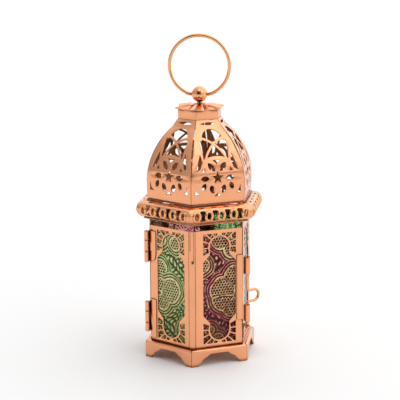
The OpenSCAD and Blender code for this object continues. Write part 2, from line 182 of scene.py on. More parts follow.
def place_noise(paint, scale, detail=2.0, rough=0.5, stretch=(1, 1, 1)):
    """Cloudy noise fixed to the piece; scale counts the clouds in a metre."""
    place = paint.node("ShaderNodeTexCoord", output="Object")
    place = paint.node("ShaderNodeMapping", None, {"Vector": place, "Scale": stretch})
    return paint.node(
        "ShaderNodeTexNoise",
        None,
        {"Vector": place, "Scale": scale, "Detail": detail, "Roughness": rough},
    )


# %% [markdown]
# ## Rose-gold plated sheet
# The lantern is thin iron sheet with a bright copper-pink plating. Plating is never perfectly
# even: broad clouds make some places a little duller, and fine rolling marks run up the sheet.
# Where two sheets meet, an ambient occlusion node paints shade into the colour. A pure mirror
# would look like chrome, so the roughness stays satin and a faint bump lets reflections waver as
# they do on hand-made tin.

# %% Plated sheet
CREVICE_REACH = 0.0024
CREVICE_SHADE = 3.2


def plated_metal(name, bright, shaded, rough, waviness):
    """bright is the open plating and shaded is the colour of the painted shade where two sheets meet.
    """

    def varying(paint):
        clouds = place_noise(paint, 55, 3, 0.6)
        rolling = place_noise(paint, 900, 2, 0.5, (1, 1, 0.06))
        specks = place_noise(paint, 2600, 1, 0.5)
        openness = paint.node(
            "ShaderNodeAmbientOcclusion", {"samples": 4}, {"Distance": CREVICE_REACH}, "AO"
        )
        # painted shade: the colour goes towards shaded where ambient occlusion finds sheets close
        # together, and the clouds add a random tone
        painted_shade_and_tone = (1 - openness) ** 1.4 * CREVICE_SHADE + (0.5 - clouds) * 0.35
        colour = painted_shade_and_tone.clamped().blend((*bright, 1), (*shaded, 1))
        roughness = rough + (clouds - 0.5) * 0.16 + (rolling - 0.5) * 0.07 + (1 - openness) * 0.15
        height = clouds * waviness + rolling * 0.03 + specks * 0.012
        bump = paint.node(
            "ShaderNodeBump", None, {"Strength": 0.5, "Distance": 0.0006, "Height": height}
        )
        return {"Base Color": colour, "Roughness": roughness.clamped(), "Normal": bump}

    return new_material(name, {"Metallic": 1.0, "IOR": 1.5}, varying)


ROSE_GOLD = (0.90, 0.405, 0.213)
# SHADED_ROSE is the colour of the painted shade where two sheets meet
SHADED_ROSE = (0.16, 0.045, 0.02)
sheet_metal = plated_metal("satin_rose_plating", ROSE_GOLD, SHADED_ROSE, 0.16, 0.5)
wire_metal = plated_metal(
    "polished_rose_wire", (0.88, 0.42, 0.19), (0.12, 0.035, 0.012), 0.07, 0.10
)
# a duller copy of the plating for cut edges and inner faces; its darker colour is painted shade
shaded_inner_metal = plated_metal(
    "dull_shaded_inner_plating", (0.62, 0.31, 0.16), (0.08, 0.025, 0.012), 0.40, 0.6
)

# %% [markdown]
# ## Pressed glass
# The panes are cheap pressed glass: scrolls and dots stand up from one face. Seen from outside,
# the hollows look nearly black and the raised lines gather light, some in the glass's own
# colour and some in the warm colour of the metal behind; here that light is painted. Each pane's
# mesh carries its height as an attribute named relief, which runs through two colour ramps from
# painted shade in the hollows to painted highlights on the raised lines: one in the glass's own
# colour and one a painted reflection of the warm metal. Slow clouds choose between them, and a
# noise scatters painted glints. Another attribute named stipple marks the dotted fields, which
# always take the painted reflection. Two more things are painted in rather than left to the
# light: the glass is darker near the tray and warmer near its top, by height. The front glass
# lets very little light through. The two back panes are seen from inside against the light, so
# they get brighter, clearer copies of the glass: clearer to let more light through, and brighter
# to paint in the backlight.

# %% Glass finish
RAMP_PLACES = (0.0, 0.35, 0.7, 1.0)
TRAY_SHADE_TOP = 0.052
TOP_GLOW_FOOT = 0.088
GLASS_SHINE = 0.22


def pressed_glass(name, tinted, metal_reflection, clear):
    """tinted and metal_reflection are four colours each, from painted shade in the hollows up to
    painted highlights on the raised lines.
    """

    def varying(paint):
        relief = paint.node("ShaderNodeAttribute", {"attribute_name": "relief"}, None, "Fac")
        stipple = paint.node("ShaderNodeAttribute", {"attribute_name": "stipple"}, None, "Fac")
        clouds = place_noise(paint, 95, 3, 0.6)
        grains = place_noise(paint, 700, 2, 0.6)
        painted_glints = place_noise(paint, 380, 2, 0.7)
        place = paint.node("ShaderNodeTexCoord", output="Object")
        up = paint.node("ShaderNodeSeparateXYZ", None, {"Vector": place}, "Z")
        near_tray = ((TRAY_SHADE_TOP - up) * 28).clamped()
        # painted light: relief becomes brightness for the ramps, with painted glints from noise and
        # painted shade near the tray
        height = relief * (0.35 + painted_glints * 1.3) * (1 - near_tray * 0.35) + (grains - 0.5) * 0.3
        own, lit = (
            paint.node("ShaderNodeValToRGB", {"stops": list(zip(RAMP_PLACES, ramp))}, {"Fac": height})
            for ramp in (tinted, metal_reflection)
        )
        near_top = ((up - TOP_GLOW_FOOT) * 40).clamped()
        # painted reflection: stipple, the top and random clouds take the painted reflection of the
        # warm metal
        reflection_mix = ((clouds - 0.5) * 5 + 0.3 + stipple + near_top * 0.5).clamped()
        roughness = 0.08 + clouds * 0.12 + stipple * 0.10
        bump = paint.node(
            "ShaderNodeBump", None, {"Strength": 0.3, "Distance": 0.0003, "Height": grains}
        )
        colour = reflection_mix.blend(own, lit)
        return {"Base Color": colour, "Roughness": roughness.clamped(), "Normal": bump}

    plain = {"IOR": 1.5, "Specular IOR Level": GLASS_SHINE, "Transmission Weight": clear}
    return new_material(name, plain, varying)


# %% Glass colours
ruby_glass = pressed_glass(
    "ruby_glass",
    ((0.025, 0.002, 0.004), (0.13, 0.012, 0.016), (0.40, 0.05, 0.065), (0.90, 0.28, 0.32)),
    ((0.012, 0.002, 0.001), (0.12, 0.028, 0.012), (0.44, 0.19, 0.075), (1.0, 0.74, 0.38)),
    0.08,
)
leaf_glass = pressed_glass(
    "leaf_green_glass",
    ((0.045, 0.050, 0.008), (0.20, 0.24, 0.055), (0.42, 0.56, 0.17), (0.68, 1.00, 0.48)),
    ((0.045, 0.028, 0.006), (0.32, 0.25, 0.065), (0.68, 0.58, 0.22), (1.0, 0.98, 0.60)),
    0.10,
)
pale_glass = pressed_glass(
    "pale_glass",
    ((0.07, 0.07, 0.07), (0.30, 0.32, 0.33), (0.52, 0.55, 0.56), (0.88, 0.90, 0.90)),
    ((0.10, 0.08, 0.07), (0.33, 0.30, 0.28), (0.56, 0.53, 0.51), (0.92, 0.89, 0.86)),
    0.45,
)
# painted light: the back panes are brighter copies of the red and green glass, with painted backlight
# in their ramps
backlit_ruby = pressed_glass(
    "backlit_ruby_glass",
    ((0.16, 0.01, 0.02), (0.62, 0.06, 0.10), (1.0, 0.40, 0.44), (1.0, 0.94, 0.95)),
    ((0.18, 0.02, 0.02), (0.62, 0.12, 0.10), (1.0, 0.56, 0.48), (1.0, 0.95, 0.92)),
    0.65,
)
backlit_leaf = pressed_glass(
    "backlit_leaf_glass",
    ((0.03, 0.13, 0.02), (0.16, 0.60, 0.08), (0.52, 1.0, 0.36), (0.94, 1.0, 0.90)),
    ((0.05, 0.12, 0.02), (0.26, 0.56, 0.10), (0.64, 0.96, 0.44), (0.96, 1.0, 0.88)),
    0.65,
)

# %% Which glass goes where
PANE_GLASS = {
    "front_right": (ruby_glass, "red_glass"),
    "right": (pale_glass, "clear_glass"),
    "back_right": (backlit_leaf, "green_glass"),
    "back_left": (backlit_ruby, "red_glass"),
    "left": (pale_glass, "clear_glass"),
    "front_left": (leaf_glass, "green_glass"),
}
print("glazed sides:", sorted(PANE_GLASS))

# %% [markdown]
# ## Outlines from lines and arcs
# Every pierced sheet is an outline with holes. Stamped holes are made of straight cuts and
# arcs, so an outline here is a chain of corners joined by lines, arcs or bows, and every sharp
# corner is eased a little because a punch never cuts a perfect point.

# %% Arcs
ARC_STEP = 0.5


def arc(middle, radius, start, end):
    """Points on a circle between two directions in degrees."""
    count = max(2, math.ceil(abs(math.radians(end - start)) * radius / ARC_STEP))
    turns = [math.radians(start + (end - start) * i / count) for i in range(count + 1)]
    return [(middle[0] + radius * math.cos(a), middle[1] + radius * math.sin(a)) for a in turns]


def arc_through(middle, start, end):
    """The shorter arc about a middle from one point to another."""
    radius = math.dist(middle, start)
    a = math.degrees(math.atan2(start[1] - middle[1], start[0] - middle[0]))
    b = math.degrees(math.atan2(end[1] - middle[1], end[0] - middle[0]))
    return arc(middle, radius, a, a + (b - a + 180) % 360 - 180)


def circles_meet(first, first_r, second, second_r, upper=True):
    """Where two circles cross; upper picks the higher of the two places."""
    gap = Vector(second) - Vector(first)
    along = (first_r**2 - second_r**2 + gap.length_squared) / (2 * gap.length)
    off = math.sqrt(max(0.0, first_r**2 - along**2))
    base = Vector(first) + gap.normalized() * along
    side = Vector((-gap.y, gap.x)).normalized() * off
    both = sorted((tuple(base + side), tuple(base - side)), key=lambda point: point[1])
    return both[1] if upper else both[0]


print("points on a quarter circle of 10 mm:", len(arc((0, 0), 10, 0, 90)))

# %% Eased corners
SHARP = math.radians(22)


def eased(points, ease=0.22):
    """Cuts each sharp corner of a closed outline with a short curve."""
    ring = [p for i, p in enumerate(points) if math.dist(p, points[i - 1]) > 1e-4]
    smooth = []
    for i, here in enumerate(ring):
        before, after = Vector(ring[i - 1]), Vector(ring[(i + 1) % len(ring)])
        corner = Vector(here)
        into, out = corner - before, after - corner
        if into.angle(out) < SHARP:
            smooth.append(here)
            continue
        start = corner - into * min(ease / into.length, 0.45)
        end = corner + out * min(ease / out.length, 0.45)
        for t in (0, 0.35, 0.65, 1):
            smooth.append(tuple(start * (1 - t) ** 2 + corner * 2 * t * (1 - t) + end * t**2))
    return smooth


def rectangle(x0, x1, y0, y1, ease=0.3):
    return eased([(x1, y0), (x1, y1), (x0, y1), (x0, y0)], ease)


print("points on an eased square:", len(rectangle(0, 10, 0, 10)))


# %% Shapes to punch
def mirrored(points):
    return [(-x, y) for x, y in reversed(points)]


def pointed_oval(middle, length, width, tilt):
    """Where two equal circles cross, turned by tilt degrees."""
    radius = (length**2 / 4 + width**2 / 4) / width
    half = math.degrees(math.asin(length / 2 / radius))
    top = arc((0, width / 2 - radius), radius, 90 - half, 90 + half)
    low = arc((0, radius - width / 2), radius, 270 - half, 270 + half)
    turn = Matrix.Rotation(math.radians(tilt), 2)
    return [tuple(turn @ Vector(p) + Vector(middle)) for p in top[:-1] + low[:-1]]


def round_slot(middle, width, height):
    """An upright slot with round ends."""
    x, y = middle
    radius, straight = width / 2, height / 2 - width / 2
    return arc((x, y - straight), radius, 180, 360) + arc((x, y + straight), radius, 0, 180)


def square_slot(middle, width, height, ease):
    x, y = middle
    return rectangle(x - width / 2, x + width / 2, y - height / 2, y + height / 2, ease)


print("points on a pointed oval:", len(pointed_oval((0, 0), 6, 3, 0)))


# %% [markdown]
# ## Stamping a sheet
# A filled flat curve already knows how to punch holes in an outline and how to round its rims,
# so it is the quickest honest way to make pierced metal. The curve becomes a mesh, the mesh is
# sliced into narrow bands, and then every vertex moves to its place on the bent sheet. Faces on
# a cut edge are marked with material index 1, so that they can take the darker inner plating
# later, whose darker colour paints shade on the cut edges.


# %% Stamp a sheet
def stamped(outer, holes, thick, rim):
    """A flat sheet as a bmesh: x and y hold the outline and z its thickness."""
    data = bpy.data.curves.new("stamping", "CURVE")
    data.dimensions = "2D"
    data.fill_mode = "BOTH"
    data.extrude = thick / 2 - rim
    data.bevel_depth = rim
    data.bevel_resolution = 1
    data.offset = -rim
    for ring in (outer, *holes):
        spline = data.splines.new("POLY")
        spline.points.add(len(ring) - 1)
        for point, (x, y) in zip(spline.points, ring):
            point.co = (x, y, 0, 1)
        spline.use_cyclic_u = True
    carrier = bpy.data.objects.new("stamping", data)
    bpy.context.collection.objects.link(carrier)
    mesh = bpy.data.meshes.new_from_object(carrier)
    bpy.data.objects.remove(carrier)
    bpy.data.curves.remove(data)
    sheet = bmesh.new()
    sheet.from_mesh(mesh)
    bpy.data.meshes.remove(mesh)
    bmesh.ops.remove_doubles(sheet, verts=sheet.verts, dist=0.002)
    sheet.normal_update()
    for face in sheet.faces:
        face.material_index = int(abs(face.normal.z) < 0.3)
    return sheet


# %% Slice and bend it
def sliced(sheet, axis, places):
    """Cuts a sheet across one axis, so that it can bend there."""
    normal = Vector((0, 0, 0))
    normal[axis] = 1
    for place in places:
        everything = sheet.verts[:] + sheet.edges[:] + sheet.faces[:]
        bmesh.ops.bisect_plane(sheet, geom=everything, plane_co=normal * place, plane_no=normal)
    return sheet


def steps(low, high, step):
    """Evenly spaced places between two ends, without the ends."""
    count = max(1, round((high - low) / step))
    return [low + (high - low) * i / count for i in range(1, count)]


def shaped(sheet, rule):
    """Moves each vertex from its flat place to rule(x, y, z)."""
    for vert in sheet.verts:
        vert.co = Vector(rule(*vert.co))
    return sheet


print("bands in 10 mm of sheet cut every 2 mm:", len(steps(0, 10, 2)) + 1)

# %% [markdown]
# ## Putting pieces in place
# A piece is finished in three moves: turn its mesh to its side of the lantern, shrink it from
# millimetres to metres, and say which body it rides on and which model node it stands for.
# Edges sharper than about thirty degrees stay crisp, and the rest is shaded smooth.


# %% Join and turn
def to_mesh(name, parts, direction=0, crisp=32):
    """Joins bmeshes into one mesh, turned to its side and in metres."""
    whole = bmesh.new()
    for part in parts if isinstance(parts, (list, tuple)) else [parts]:
        temporary = bpy.data.meshes.new("part")
        part.to_mesh(temporary)
        part.free()
        whole.from_mesh(temporary)
        bpy.data.meshes.remove(temporary)
    bmesh.ops.recalc_face_normals(whole, faces=whole.faces)
    mesh = bpy.data.meshes.new(name)
    whole.to_mesh(mesh)
    whole.free()
    mesh.transform(Matrix.Rotation(math.radians(direction), 4, "Z") @ Matrix.Scale(MM, 4))
    mesh.shade_smooth()
    mesh.set_sharp_from_angle(angle=math.radians(crisp))
    return mesh


# %% Place a piece
FACES_INWARD = -0.35


def put(name, mesh, material, body, slot, *nodes):
    """Rides on a body, takes a material and stands for the nodes named last; slot is not used."""
    piece = bpy.data.objects.new(name, mesh)
    bpy.context.collection.objects.link(piece)
    mesh.materials.append(material)
    mesh.polygons.foreach_set("material_index", [0] * len(mesh.polygons))
    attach(piece, body)
    if nodes:
        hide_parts(*nodes)
    print(f"{name}: {len(mesh.polygons)} faces")
    return piece


def put_sheet(name, parts, body, *nodes, direction=0):
    """Places a sheet piece, with a duller and darker plating, partly painted shade, on its cut edges
    and towards the lantern's axis.
    """
    mesh = to_mesh(name, parts, direction)
    cut = [face.material_index for face in mesh.polygons]
    piece = put(name, mesh, sheet_metal, body, "rose_gold_sheet", *nodes)
    mesh.materials.append(shaded_inner_metal)
    for face, is_cut in zip(mesh.polygons, cut):
        outward = Vector((face.center.x, face.center.y, 0)).normalized()
        face.material_index = int(is_cut or face.normal.dot(outward) < FACES_INWARD)
    return piece


# %% [markdown]
# ## Camera
# The lantern stands a little below eye level, seen a few degrees to the right of its front
# corner with a long lens. The lens is given in millimetres on the usual 36 mm wide sensor.

# %% Camera
CAMERA_AZIMUTH = math.radians(8.894)
CAMERA_DISTANCE = 868.5
CAMERA_HEIGHT = 290.4
CAMERA_PITCH = math.radians(12.25)
CAMERA_ROLL = math.radians(-0.29)
LENS = 122.5
SENSOR_W = 36

camera_data = bpy.data.cameras.new("camera")
camera_data.lens = LENS
camera_data.sensor_width = SENSOR_W
camera = bpy.data.objects.new("camera", camera_data)
bpy.context.collection.objects.link(camera)
camera.location = Vector((
    math.sin(CAMERA_AZIMUTH) * CAMERA_DISTANCE,
    -math.cos(CAMERA_AZIMUTH) * CAMERA_DISTANCE,
    CAMERA_HEIGHT,
)) * MM
camera.rotation_euler = (
    Matrix.Rotation(CAMERA_AZIMUTH, 3, "Z")
    @ Matrix.Rotation(math.pi / 2 - CAMERA_PITCH, 3, "X")
    @ Matrix.Rotation(CAMERA_ROLL, 3, "Z")
).to_euler()
bpy.context.scene.camera = camera
print(f"camera {CAMERA_DISTANCE:.0f} mm from the axis, lens {LENS} mm")

# %% [markdown]
# ## Floor and light
# Small shiny things are shot in a light tent: plain white paper below and white all round,
# brighter to the right. Two things in the tent are dark, and polished metal shows both: a card
# in front, round the slit that the camera looks through, and a soft band low on the right. The
# card gives bright wire its dark core. What the camera sees behind the lantern is plain white,
# because a Light Path node leaves the card and the band out of what it sees directly; only the
# reflections hold them. A very wide sun stands in for the tent's roof, because its light does
# not fall off across the floor.

# %% Floor
floor_mesh = bpy.data.meshes.new("floor")
FLOOR_HALF = 30.0
floor_mesh.from_pydata(
    [(x * FLOOR_HALF, y * FLOOR_HALF, 0) for x, y in ((-1, -1), (1, -1), (1, 1), (-1, 1))],
    [],
    [(0, 1, 2, 3)],
)
floor = bpy.data.objects.new("floor", floor_mesh)
bpy.context.collection.objects.link(floor)


def paper(paint):
    """Two pale greys that barely differ, and a little unevenness in the gloss."""
    return {
        "Base Color": place_noise(paint, 3).blend((0.93, 0.93, 0.93, 1), (0.90, 0.90, 0.90, 1)),
        "Roughness": 0.55 + place_noise(paint, 8) * 0.1,
    }


floor_mesh.materials.append(new_material("pale_floor", {"Specular IOR Level": 0.2}, paper))
print(f"floor: {2 * FLOOR_HALF:.0f} m of plain paper")

# %% Light tent
BACKDROP = 1.5
BAND_HEIGHT, BAND_DARK = 0.13, 0.62
CARD_HALF_W, CARD_TOP, CARD_DARK = 0.58, 0.86, 0.92
world = bpy.data.worlds.new("light_tent")
bpy.context.scene.world = world
world.use_nodes = True
tent = Signal(world.node_tree)
background = world.node_tree.nodes["Background"]
towards = tent.node("ShaderNodeTexCoord", output="Generated")
right, forward, above = (
    tent.node("ShaderNodeSeparateXYZ", None, {"Vector": towards}, axis) for axis in "XYZ"
)
glow = 0.93 + right * 0.46 + above * 0.10 + (forward * 2).clamped() * 0.3
band = tent.math("ABSOLUTE", above - BAND_HEIGHT, 0)
band = (1 - band * 5).clamped() * (right * 3).clamped() * (0.5 - forward * 3).clamped()
card = ((CARD_HALF_W - tent.math("ABSOLUTE", right, 0)) * 5).clamped()
card = card * (forward * -4).clamped() * ((CARD_TOP - above) * 8).clamped()
glow = glow * (1 - band * BAND_DARK) * (1 - card * CARD_DARK)
background.inputs["Color"].default_value = (1, 1, 1, 1)
seen = tent.node("ShaderNodeLightPath", output="Is Camera Ray")
tent.feed(background.inputs["Strength"], seen * BACKDROP + (1 - seen) * glow)

sun_data = bpy.data.lights.new("tent_roof", "SUN")
sun_data.energy = 0.45
sun_data.angle = math.radians(70)
sun = bpy.data.objects.new("tent_roof", sun_data)
bpy.context.collection.objects.link(sun)
sun.rotation_euler = (math.radians(18), math.radians(14), 0)
bpy.context.scene.view_settings.view_transform = "Standard"
print(f"tent: the card takes away {CARD_DARK:.0%} of the light and the band {BAND_DARK:.0%}")

# %% [markdown]
# ## Window outline
# Each window is a keyhole at both ends: a wide middle, shoulders that slope in, a neck and an
# arch. Between the arch and the window's square corner the sheet is cut into rays, like the sun.
# One end is drawn and then mirrored, so the window stays symmetrical.

# %% Window holes
WINDOW_HALF_W = 11.2
WINDOW_MID_Z = 50
ARCH_R = 6.7
RIM_W = 1.1
STRAIGHT_H, NECK_H, ARCH_H, WINDOW_H = 17.6, 22.5, 27.5, 36.3
RAYS = ((-24, -5), (0, 18), (23, 40), (45, 59), (64, 79))


def on_window_corner(angle):
    """Where a ray from the arch's middle meets the window's square corner."""
    direction = Vector((math.cos(math.radians(angle)), math.sin(math.radians(angle))))
    room = WINDOW_H - ARCH_H
    far = min(WINDOW_HALF_W / direction.x, room / direction.y if direction.y > 0 else 1e9)
    return tuple(direction * far)


def ray_hole(low, high):
    """One ray between two directions in degrees, with the window's corner if it lies between."""
    corner = (WINDOW_HALF_W, WINDOW_H - ARCH_H)
    bend = math.degrees(math.atan2(corner[1], corner[0]))
    inner = arc((0, 0), ARCH_R + RIM_W, high, low)
    outer = [on_window_corner(low), on_window_corner(high)]
    if low < bend < high:
        outer.insert(1, corner)
    return eased([(x, y + ARCH_H) for x, y in inner + outer], 0.3)


def keyhole():
    """The whole glazed opening, drawn anticlockwise from its right side."""
    top = [(WINDOW_HALF_W, STRAIGHT_H), (ARCH_R, NECK_H)]
    top += arc((0, ARCH_H), ARCH_R, 0, 180)
    top += [(-ARCH_R, NECK_H), (-WINDOW_HALF_W, STRAIGHT_H)]
    return eased(top + [(-x, -y) for x, y in top], 0.5)


def window_holes(shift):
    rays = [ray_hole(*ray) for ray in RAYS]
    rays += [mirrored(ray) for ray in rays]
    rays += [[(x, -y) for x, y in reversed(ray)] for ray in rays]
    return [[(x + shift, y + WINDOW_MID_Z) for x, y in ring] for ring in [keyhole(), *rays]]


print("holes in a window:", len(window_holes(0)))

# %% [markdown]
# ## Side panels
# Four fixed panels stand between the base and the head plate. They are flat, so stamping is
# almost the whole job: the outline only has to be stood up at its distance from the axis.
# A flat sheet looks dead in a reflection, so each panel bows outwards by a hair in its middle.

# %% Side panels
FLAT_BOW = 0.12
PANEL_END = 17.4
PANEL_DOOR_END = 17.15


def stand_up(distance, low, high):
    """Rule for a flat side: stands it up and bows it inwards a little at its edges."""
    middle = (low + high) / 2

    def rule(x, y, z):
        away = ((y - middle) / (high - low) * 2) ** 2
        return (distance - SHEET / 2 + z - FLAT_BOW * away, x, y)

    return rule


for side in ("right", "back_right", "back_left", "left"):
    node = "side_panel_" + side
    start = PANEL_DOOR_END if side == "right" else PANEL_END
    end = PANEL_DOOR_END if side == "left" else PANEL_END
    outline = rectangle(-start, end, panel_low.z, panel_high.z)
    sheet = stamped(outline, window_holes(0), SHEET, 0.13)
    sheet = sliced(sheet, 1, steps(panel_low.z, panel_high.z, 9))
    sheet = shaped(sheet, stand_up(BODY_A, panel_low.z, panel_high.z))
    put_sheet(node + "_skin", sheet, BODY, node, direction=SIDES[side])

# %% [markdown]
# ## The door
# The door is one sheet folded down its middle into two sides. Drawn flat it is a single outline
# with two windows; a rule then wraps the middle strip round the fold. Two shallow creases mark
# where the fold begins, and two scored lines run down from its top to a drop of solder.

# %% Door
DOOR_BEND_R = 4.0
DOOR_LEFT_END = 16.8
DOOR_RIGHT_END = 17.0
BEND_MID_R = DOOR_BEND_R - SHEET / 2
TANGENT = (BODY_A - DOOR_BEND_R) * TAN30
BEND_W = BEND_MID_R * math.radians(60)
BEND_AXIS = (BODY_A - DOOR_BEND_R) / math.cos(math.radians(30))
CREASE_DEPTH, CREASE_HALF_W = 0.38, 0.4
CREASE_PLACE = BEND_W / 2 + 0.2
SCORES = ((-1.2, 76.0), (1.1, 69.5))


def crease(offset):
    """Depth of a V-shaped groove at a distance from its middle."""
    return CREASE_DEPTH * max(0.0, 1 - abs(offset) / CREASE_HALF_W)


def fold_door(x, y, z):
    """x runs over both sides of the door and the fold between them."""
    groove = crease(abs(x) - CREASE_PLACE)
    groove += sum(crease(x - place) for place, foot in SCORES if y > foot)
    out = z - groove
    if abs(x) <= BEND_W / 2:
        turn = math.radians(-90) + x / BEND_MID_R
        reach = BEND_MID_R + out
        return (reach * math.cos(turn), -BEND_AXIS + reach * math.sin(turn), y)
    direction = math.radians(-60 if x > 0 else 240)
    along = (abs(x) - BEND_W / 2 - TANGENT) * (1 if x > 0 else -1)
    away = BODY_A - SHEET / 2 + out
    return (
        away * math.cos(direction) - along * math.sin(direction),
        away * math.sin(direction) + along * math.cos(direction),
        y,
    )


# %% Stamp and fold the door
WINDOW_SHIFT = {"front_right": 1.4, "front_left": 0.3}
FOLD_SLICE = 0.15
flat_middle = BEND_W / 2 + TANGENT
door_outline = rectangle(-flat_middle - DOOR_LEFT_END, flat_middle + DOOR_RIGHT_END, *DOOR_Z, 0.6)
door_holes = window_holes(flat_middle + WINDOW_SHIFT["front_right"])
door_holes += window_holes(-flat_middle + WINDOW_SHIFT["front_left"])
score_feet = [foot + step for _, foot in SCORES for step in (-0.05, 0.05)]
door = stamped(door_outline, door_holes, SHEET, 0.13)
door = sliced(door, 0, [i * FOLD_SLICE for i in range(-19, 20)])
door = sliced(door, 1, steps(*DOOR_Z, 9) + score_feet)
put_sheet("door_skin", shaped(door, fold_door), "door", "door_sheet")

# %% Solder drop
SOLDER_X, SOLDER_Z = 0.5, 68.6
SOLDER_HALF_W, SOLDER_HALF_T = 0.8, 0.35
solder = bmesh.new()
bmesh.ops.create_icosphere(solder, subdivisions=3, radius=1.0)
for vert in solder.verts:
    x, y, z = vert.co * (1 + 0.16 * math.sin(vert.co.x * 5 + 1) * math.sin(vert.co.z * 4))
    out = BEND_AXIS + DOOR_BEND_R - y * SOLDER_HALF_T
    vert.co = (x * SOLDER_HALF_W + SOLDER_X, -out, z + SOLDER_Z)
burnt_solder = plated_metal("burnt_solder", (0.16, 0.09, 0.055), (0.04, 0.02, 0.012), 0.5, 0.8)
put("solder_drop", to_mesh("solder_drop", solder, crisp=60), burnt_solder, "door", "inner_sheet")

# %% [markdown]
# ## Base tray
# The tray is a flat top with a skirt folded down from each side. The skirt's lower edge is cut
# into two bracket feet with an ogee between them. Each skirt is drawn flat, fold and all, and
# the rule rolls its upper strip over the edge so that the fold catches a line of light.

# %% Base tray
TRAY_T = 0.8
FOLD_R = 1.1
FOLD_LEN = FOLD_R * math.pi / 2
LIP = 0.9
SKIRT_SEAM = 0.18
TRAY_LAP, TRAY_DROP = 0.3, 0.05
HALF_ARCH = (
    (14.4, 0.0), (13.6, 1.9), (12.4, 2.7), (11.6, 4.2),
    (9.8, 5.4), (7.9, 6.3), (6.4, 7.5), (5.6, 7.8),
)


def roll_over(x, y, z):
    """Upright up to the fold, then round it and level across the top."""
    upright = BASE_H - FOLD_R
    out = z - TRAY_T / 2
    if y <= upright:
        return (BASE_A + out, x, y)
    turn = min((y - upright) / FOLD_R, math.pi / 2)
    level = max(0.0, y - upright - FOLD_LEN)
    reach = FOLD_R + out
    return (BASE_A - FOLD_R + reach * math.cos(turn) - level, x, upright + reach * math.sin(turn))


def skirt_outline():
    """One skirt laid flat, with the ogee between its two feet along the lower edge."""
    half = BASE_A * TAN30 - SKIRT_SEAM
    bend = BASE_H - FOLD_R
    top = bend + FOLD_LEN + LIP
    inward = (FOLD_R + LIP) * TAN30
    upper = [(half, bend), (half - inward, top), (-half + inward, top), (-half, bend)]
    ogee = [(-x, y) for x, y in HALF_ARCH] + list(HALF_ARCH[::-1])
    return eased([(half, 0.0), *upper, (-half, 0.0), *ogee], 0.2)


# %% Fold the skirts and lay the top
skirts = []
for direction in SIDES.values():
    skirt = stamped(skirt_outline(), [], TRAY_T, 0.16)
    skirt = sliced(skirt, 1, steps(BASE_H - FOLD_R, BASE_H - FOLD_R + FOLD_LEN, 0.25))
    skirt = shaped(skirt, roll_over)
    skirt.transform(Matrix.Rotation(math.radians(direction), 4, "Z"))
    skirts.append(skirt)


def hexagon(apothem, ease=0.5):
    radius = apothem / math.cos(math.radians(30))
    return eased([
        (radius * math.cos(math.radians(a)), radius * math.sin(math.radians(a)))
        for a in range(30, 390, 60)
    ], ease)


tray_top = stamped(hexagon(BASE_A - FOLD_R - LIP + TRAY_LAP), [], TRAY_T, 0.1)
tray_top = shaped(tray_top, lambda x, y, z: (x, y, BASE_H - TRAY_T / 2 + z - TRAY_DROP))
put_sheet("base_tray_skin", [*skirts, tray_top], BODY, "base_tray")

# %% [markdown]
# ## Round work
# Wire and turned parts need only two tools. One sweeps a round section along a flat path and
# domes its ends, the other spins an outline about an axis. Curves with a bevel could do the
# first, but rings of vertices allow a wire to thin where it enters a bore.


# %% Wire
END_DOME = 0.6
DOME_TURNS = [math.radians(a) for a in (25, 50, 75)]


def skin(rings, closed=False):
    """Joins rings of points, all of one length, into a surface; open ends are capped."""
    made = bmesh.new()
    loops = [[made.verts.new(point) for point in ring] for ring in rings]
    pairs = list(zip(loops, loops[1:])) + ([(loops[-1], loops[0])] if closed else [])
    for low, high in pairs:
        for i in range(len(low)):
            made.faces.new((low[i - 1], low[i], high[i], high[i - 1]))
    if not closed:
        made.faces.new(loops[0])
        made.faces.new(loops[-1])
    return made


def domed_end(point, along, radius):
    """Stations that close a wire with a low dome, going out along its own direction."""
    return [
        (point + along * radius * END_DOME * math.sin(t), along, radius * math.cos(t))
        for t in DOME_TURNS
    ]


def wire(path, radii, across, sides=16):
    """Sweeps a round section along a path that lies in the plane square to across."""
    points = [Vector(point) for point in path]
    across = Vector(across).normalized()
    stations = []
    for i, point in enumerate(points):
        along = (points[min(i + 1, len(points) - 1)] - points[max(i - 1, 0)]).normalized()
        radius = radii[i] if isinstance(radii, list) else radii
        stations.append((point, along, radius))
    point, along, radius = stations[0]
    start = [(place, along, r) for place, _, r in reversed(domed_end(point, -along, radius))]
    rings = []
    for point, along, radius in start + stations + domed_end(*stations[-1]):
        up = across.cross(along).normalized()
        turns = [2 * math.pi * i / sides for i in range(sides)]
        rings.append([point + (across * math.cos(t) + up * math.sin(t)) * radius for t in turns])
    return skin(rings)


# %% Lathe
def turned(profile, sides=64):
    """Spins a closed outline of (radius, height) about the upright axis."""
    rings = []
    for i in range(sides):
        turn = 2 * math.pi * i / sides
        rings.append([(r * math.cos(turn), r * math.sin(turn), z) for r, z in profile])
    return skin(rings, closed=True)


# %% [markdown]
# ## Candle cup and head plate
# The cup is a spun tray that keeps a tealight in place, with a rim rolled over so that it does
# not cut. The head plate is a flat six-sided ring that holds the four fixed panels at the top.

# %% Cup and head plate
cup_low, cup_high = box_mm("candle_cup")
CUP_R = cup_high.x
CUP_WALL = 0.6
CUP_RIM_R = 0.4
CUP_MIDDLE = 0.5
cup_z = cup_low.z
cup_outline = [
    (CUP_MIDDLE, cup_z),
    (CUP_R - 1.2, cup_z),
    (CUP_R - 0.3, cup_z + 0.35),
    (CUP_R - 0.12, cup_z + 1.2),
]
cup_outline += arc((CUP_R - CUP_RIM_R, cup_high.z - 0.5), CUP_RIM_R, 0, 180)
cup_outline += [
    (CUP_R - CUP_WALL, cup_z + 1.6),
    (CUP_R - 1.4, cup_z + CUP_WALL),
    (CUP_MIDDLE, cup_z + CUP_WALL),
]
cup = to_mesh("candle_cup_skin", turned(cup_outline))
put("candle_cup_skin", cup, shaded_inner_metal, BODY, "inner_sheet", "candle_cup")


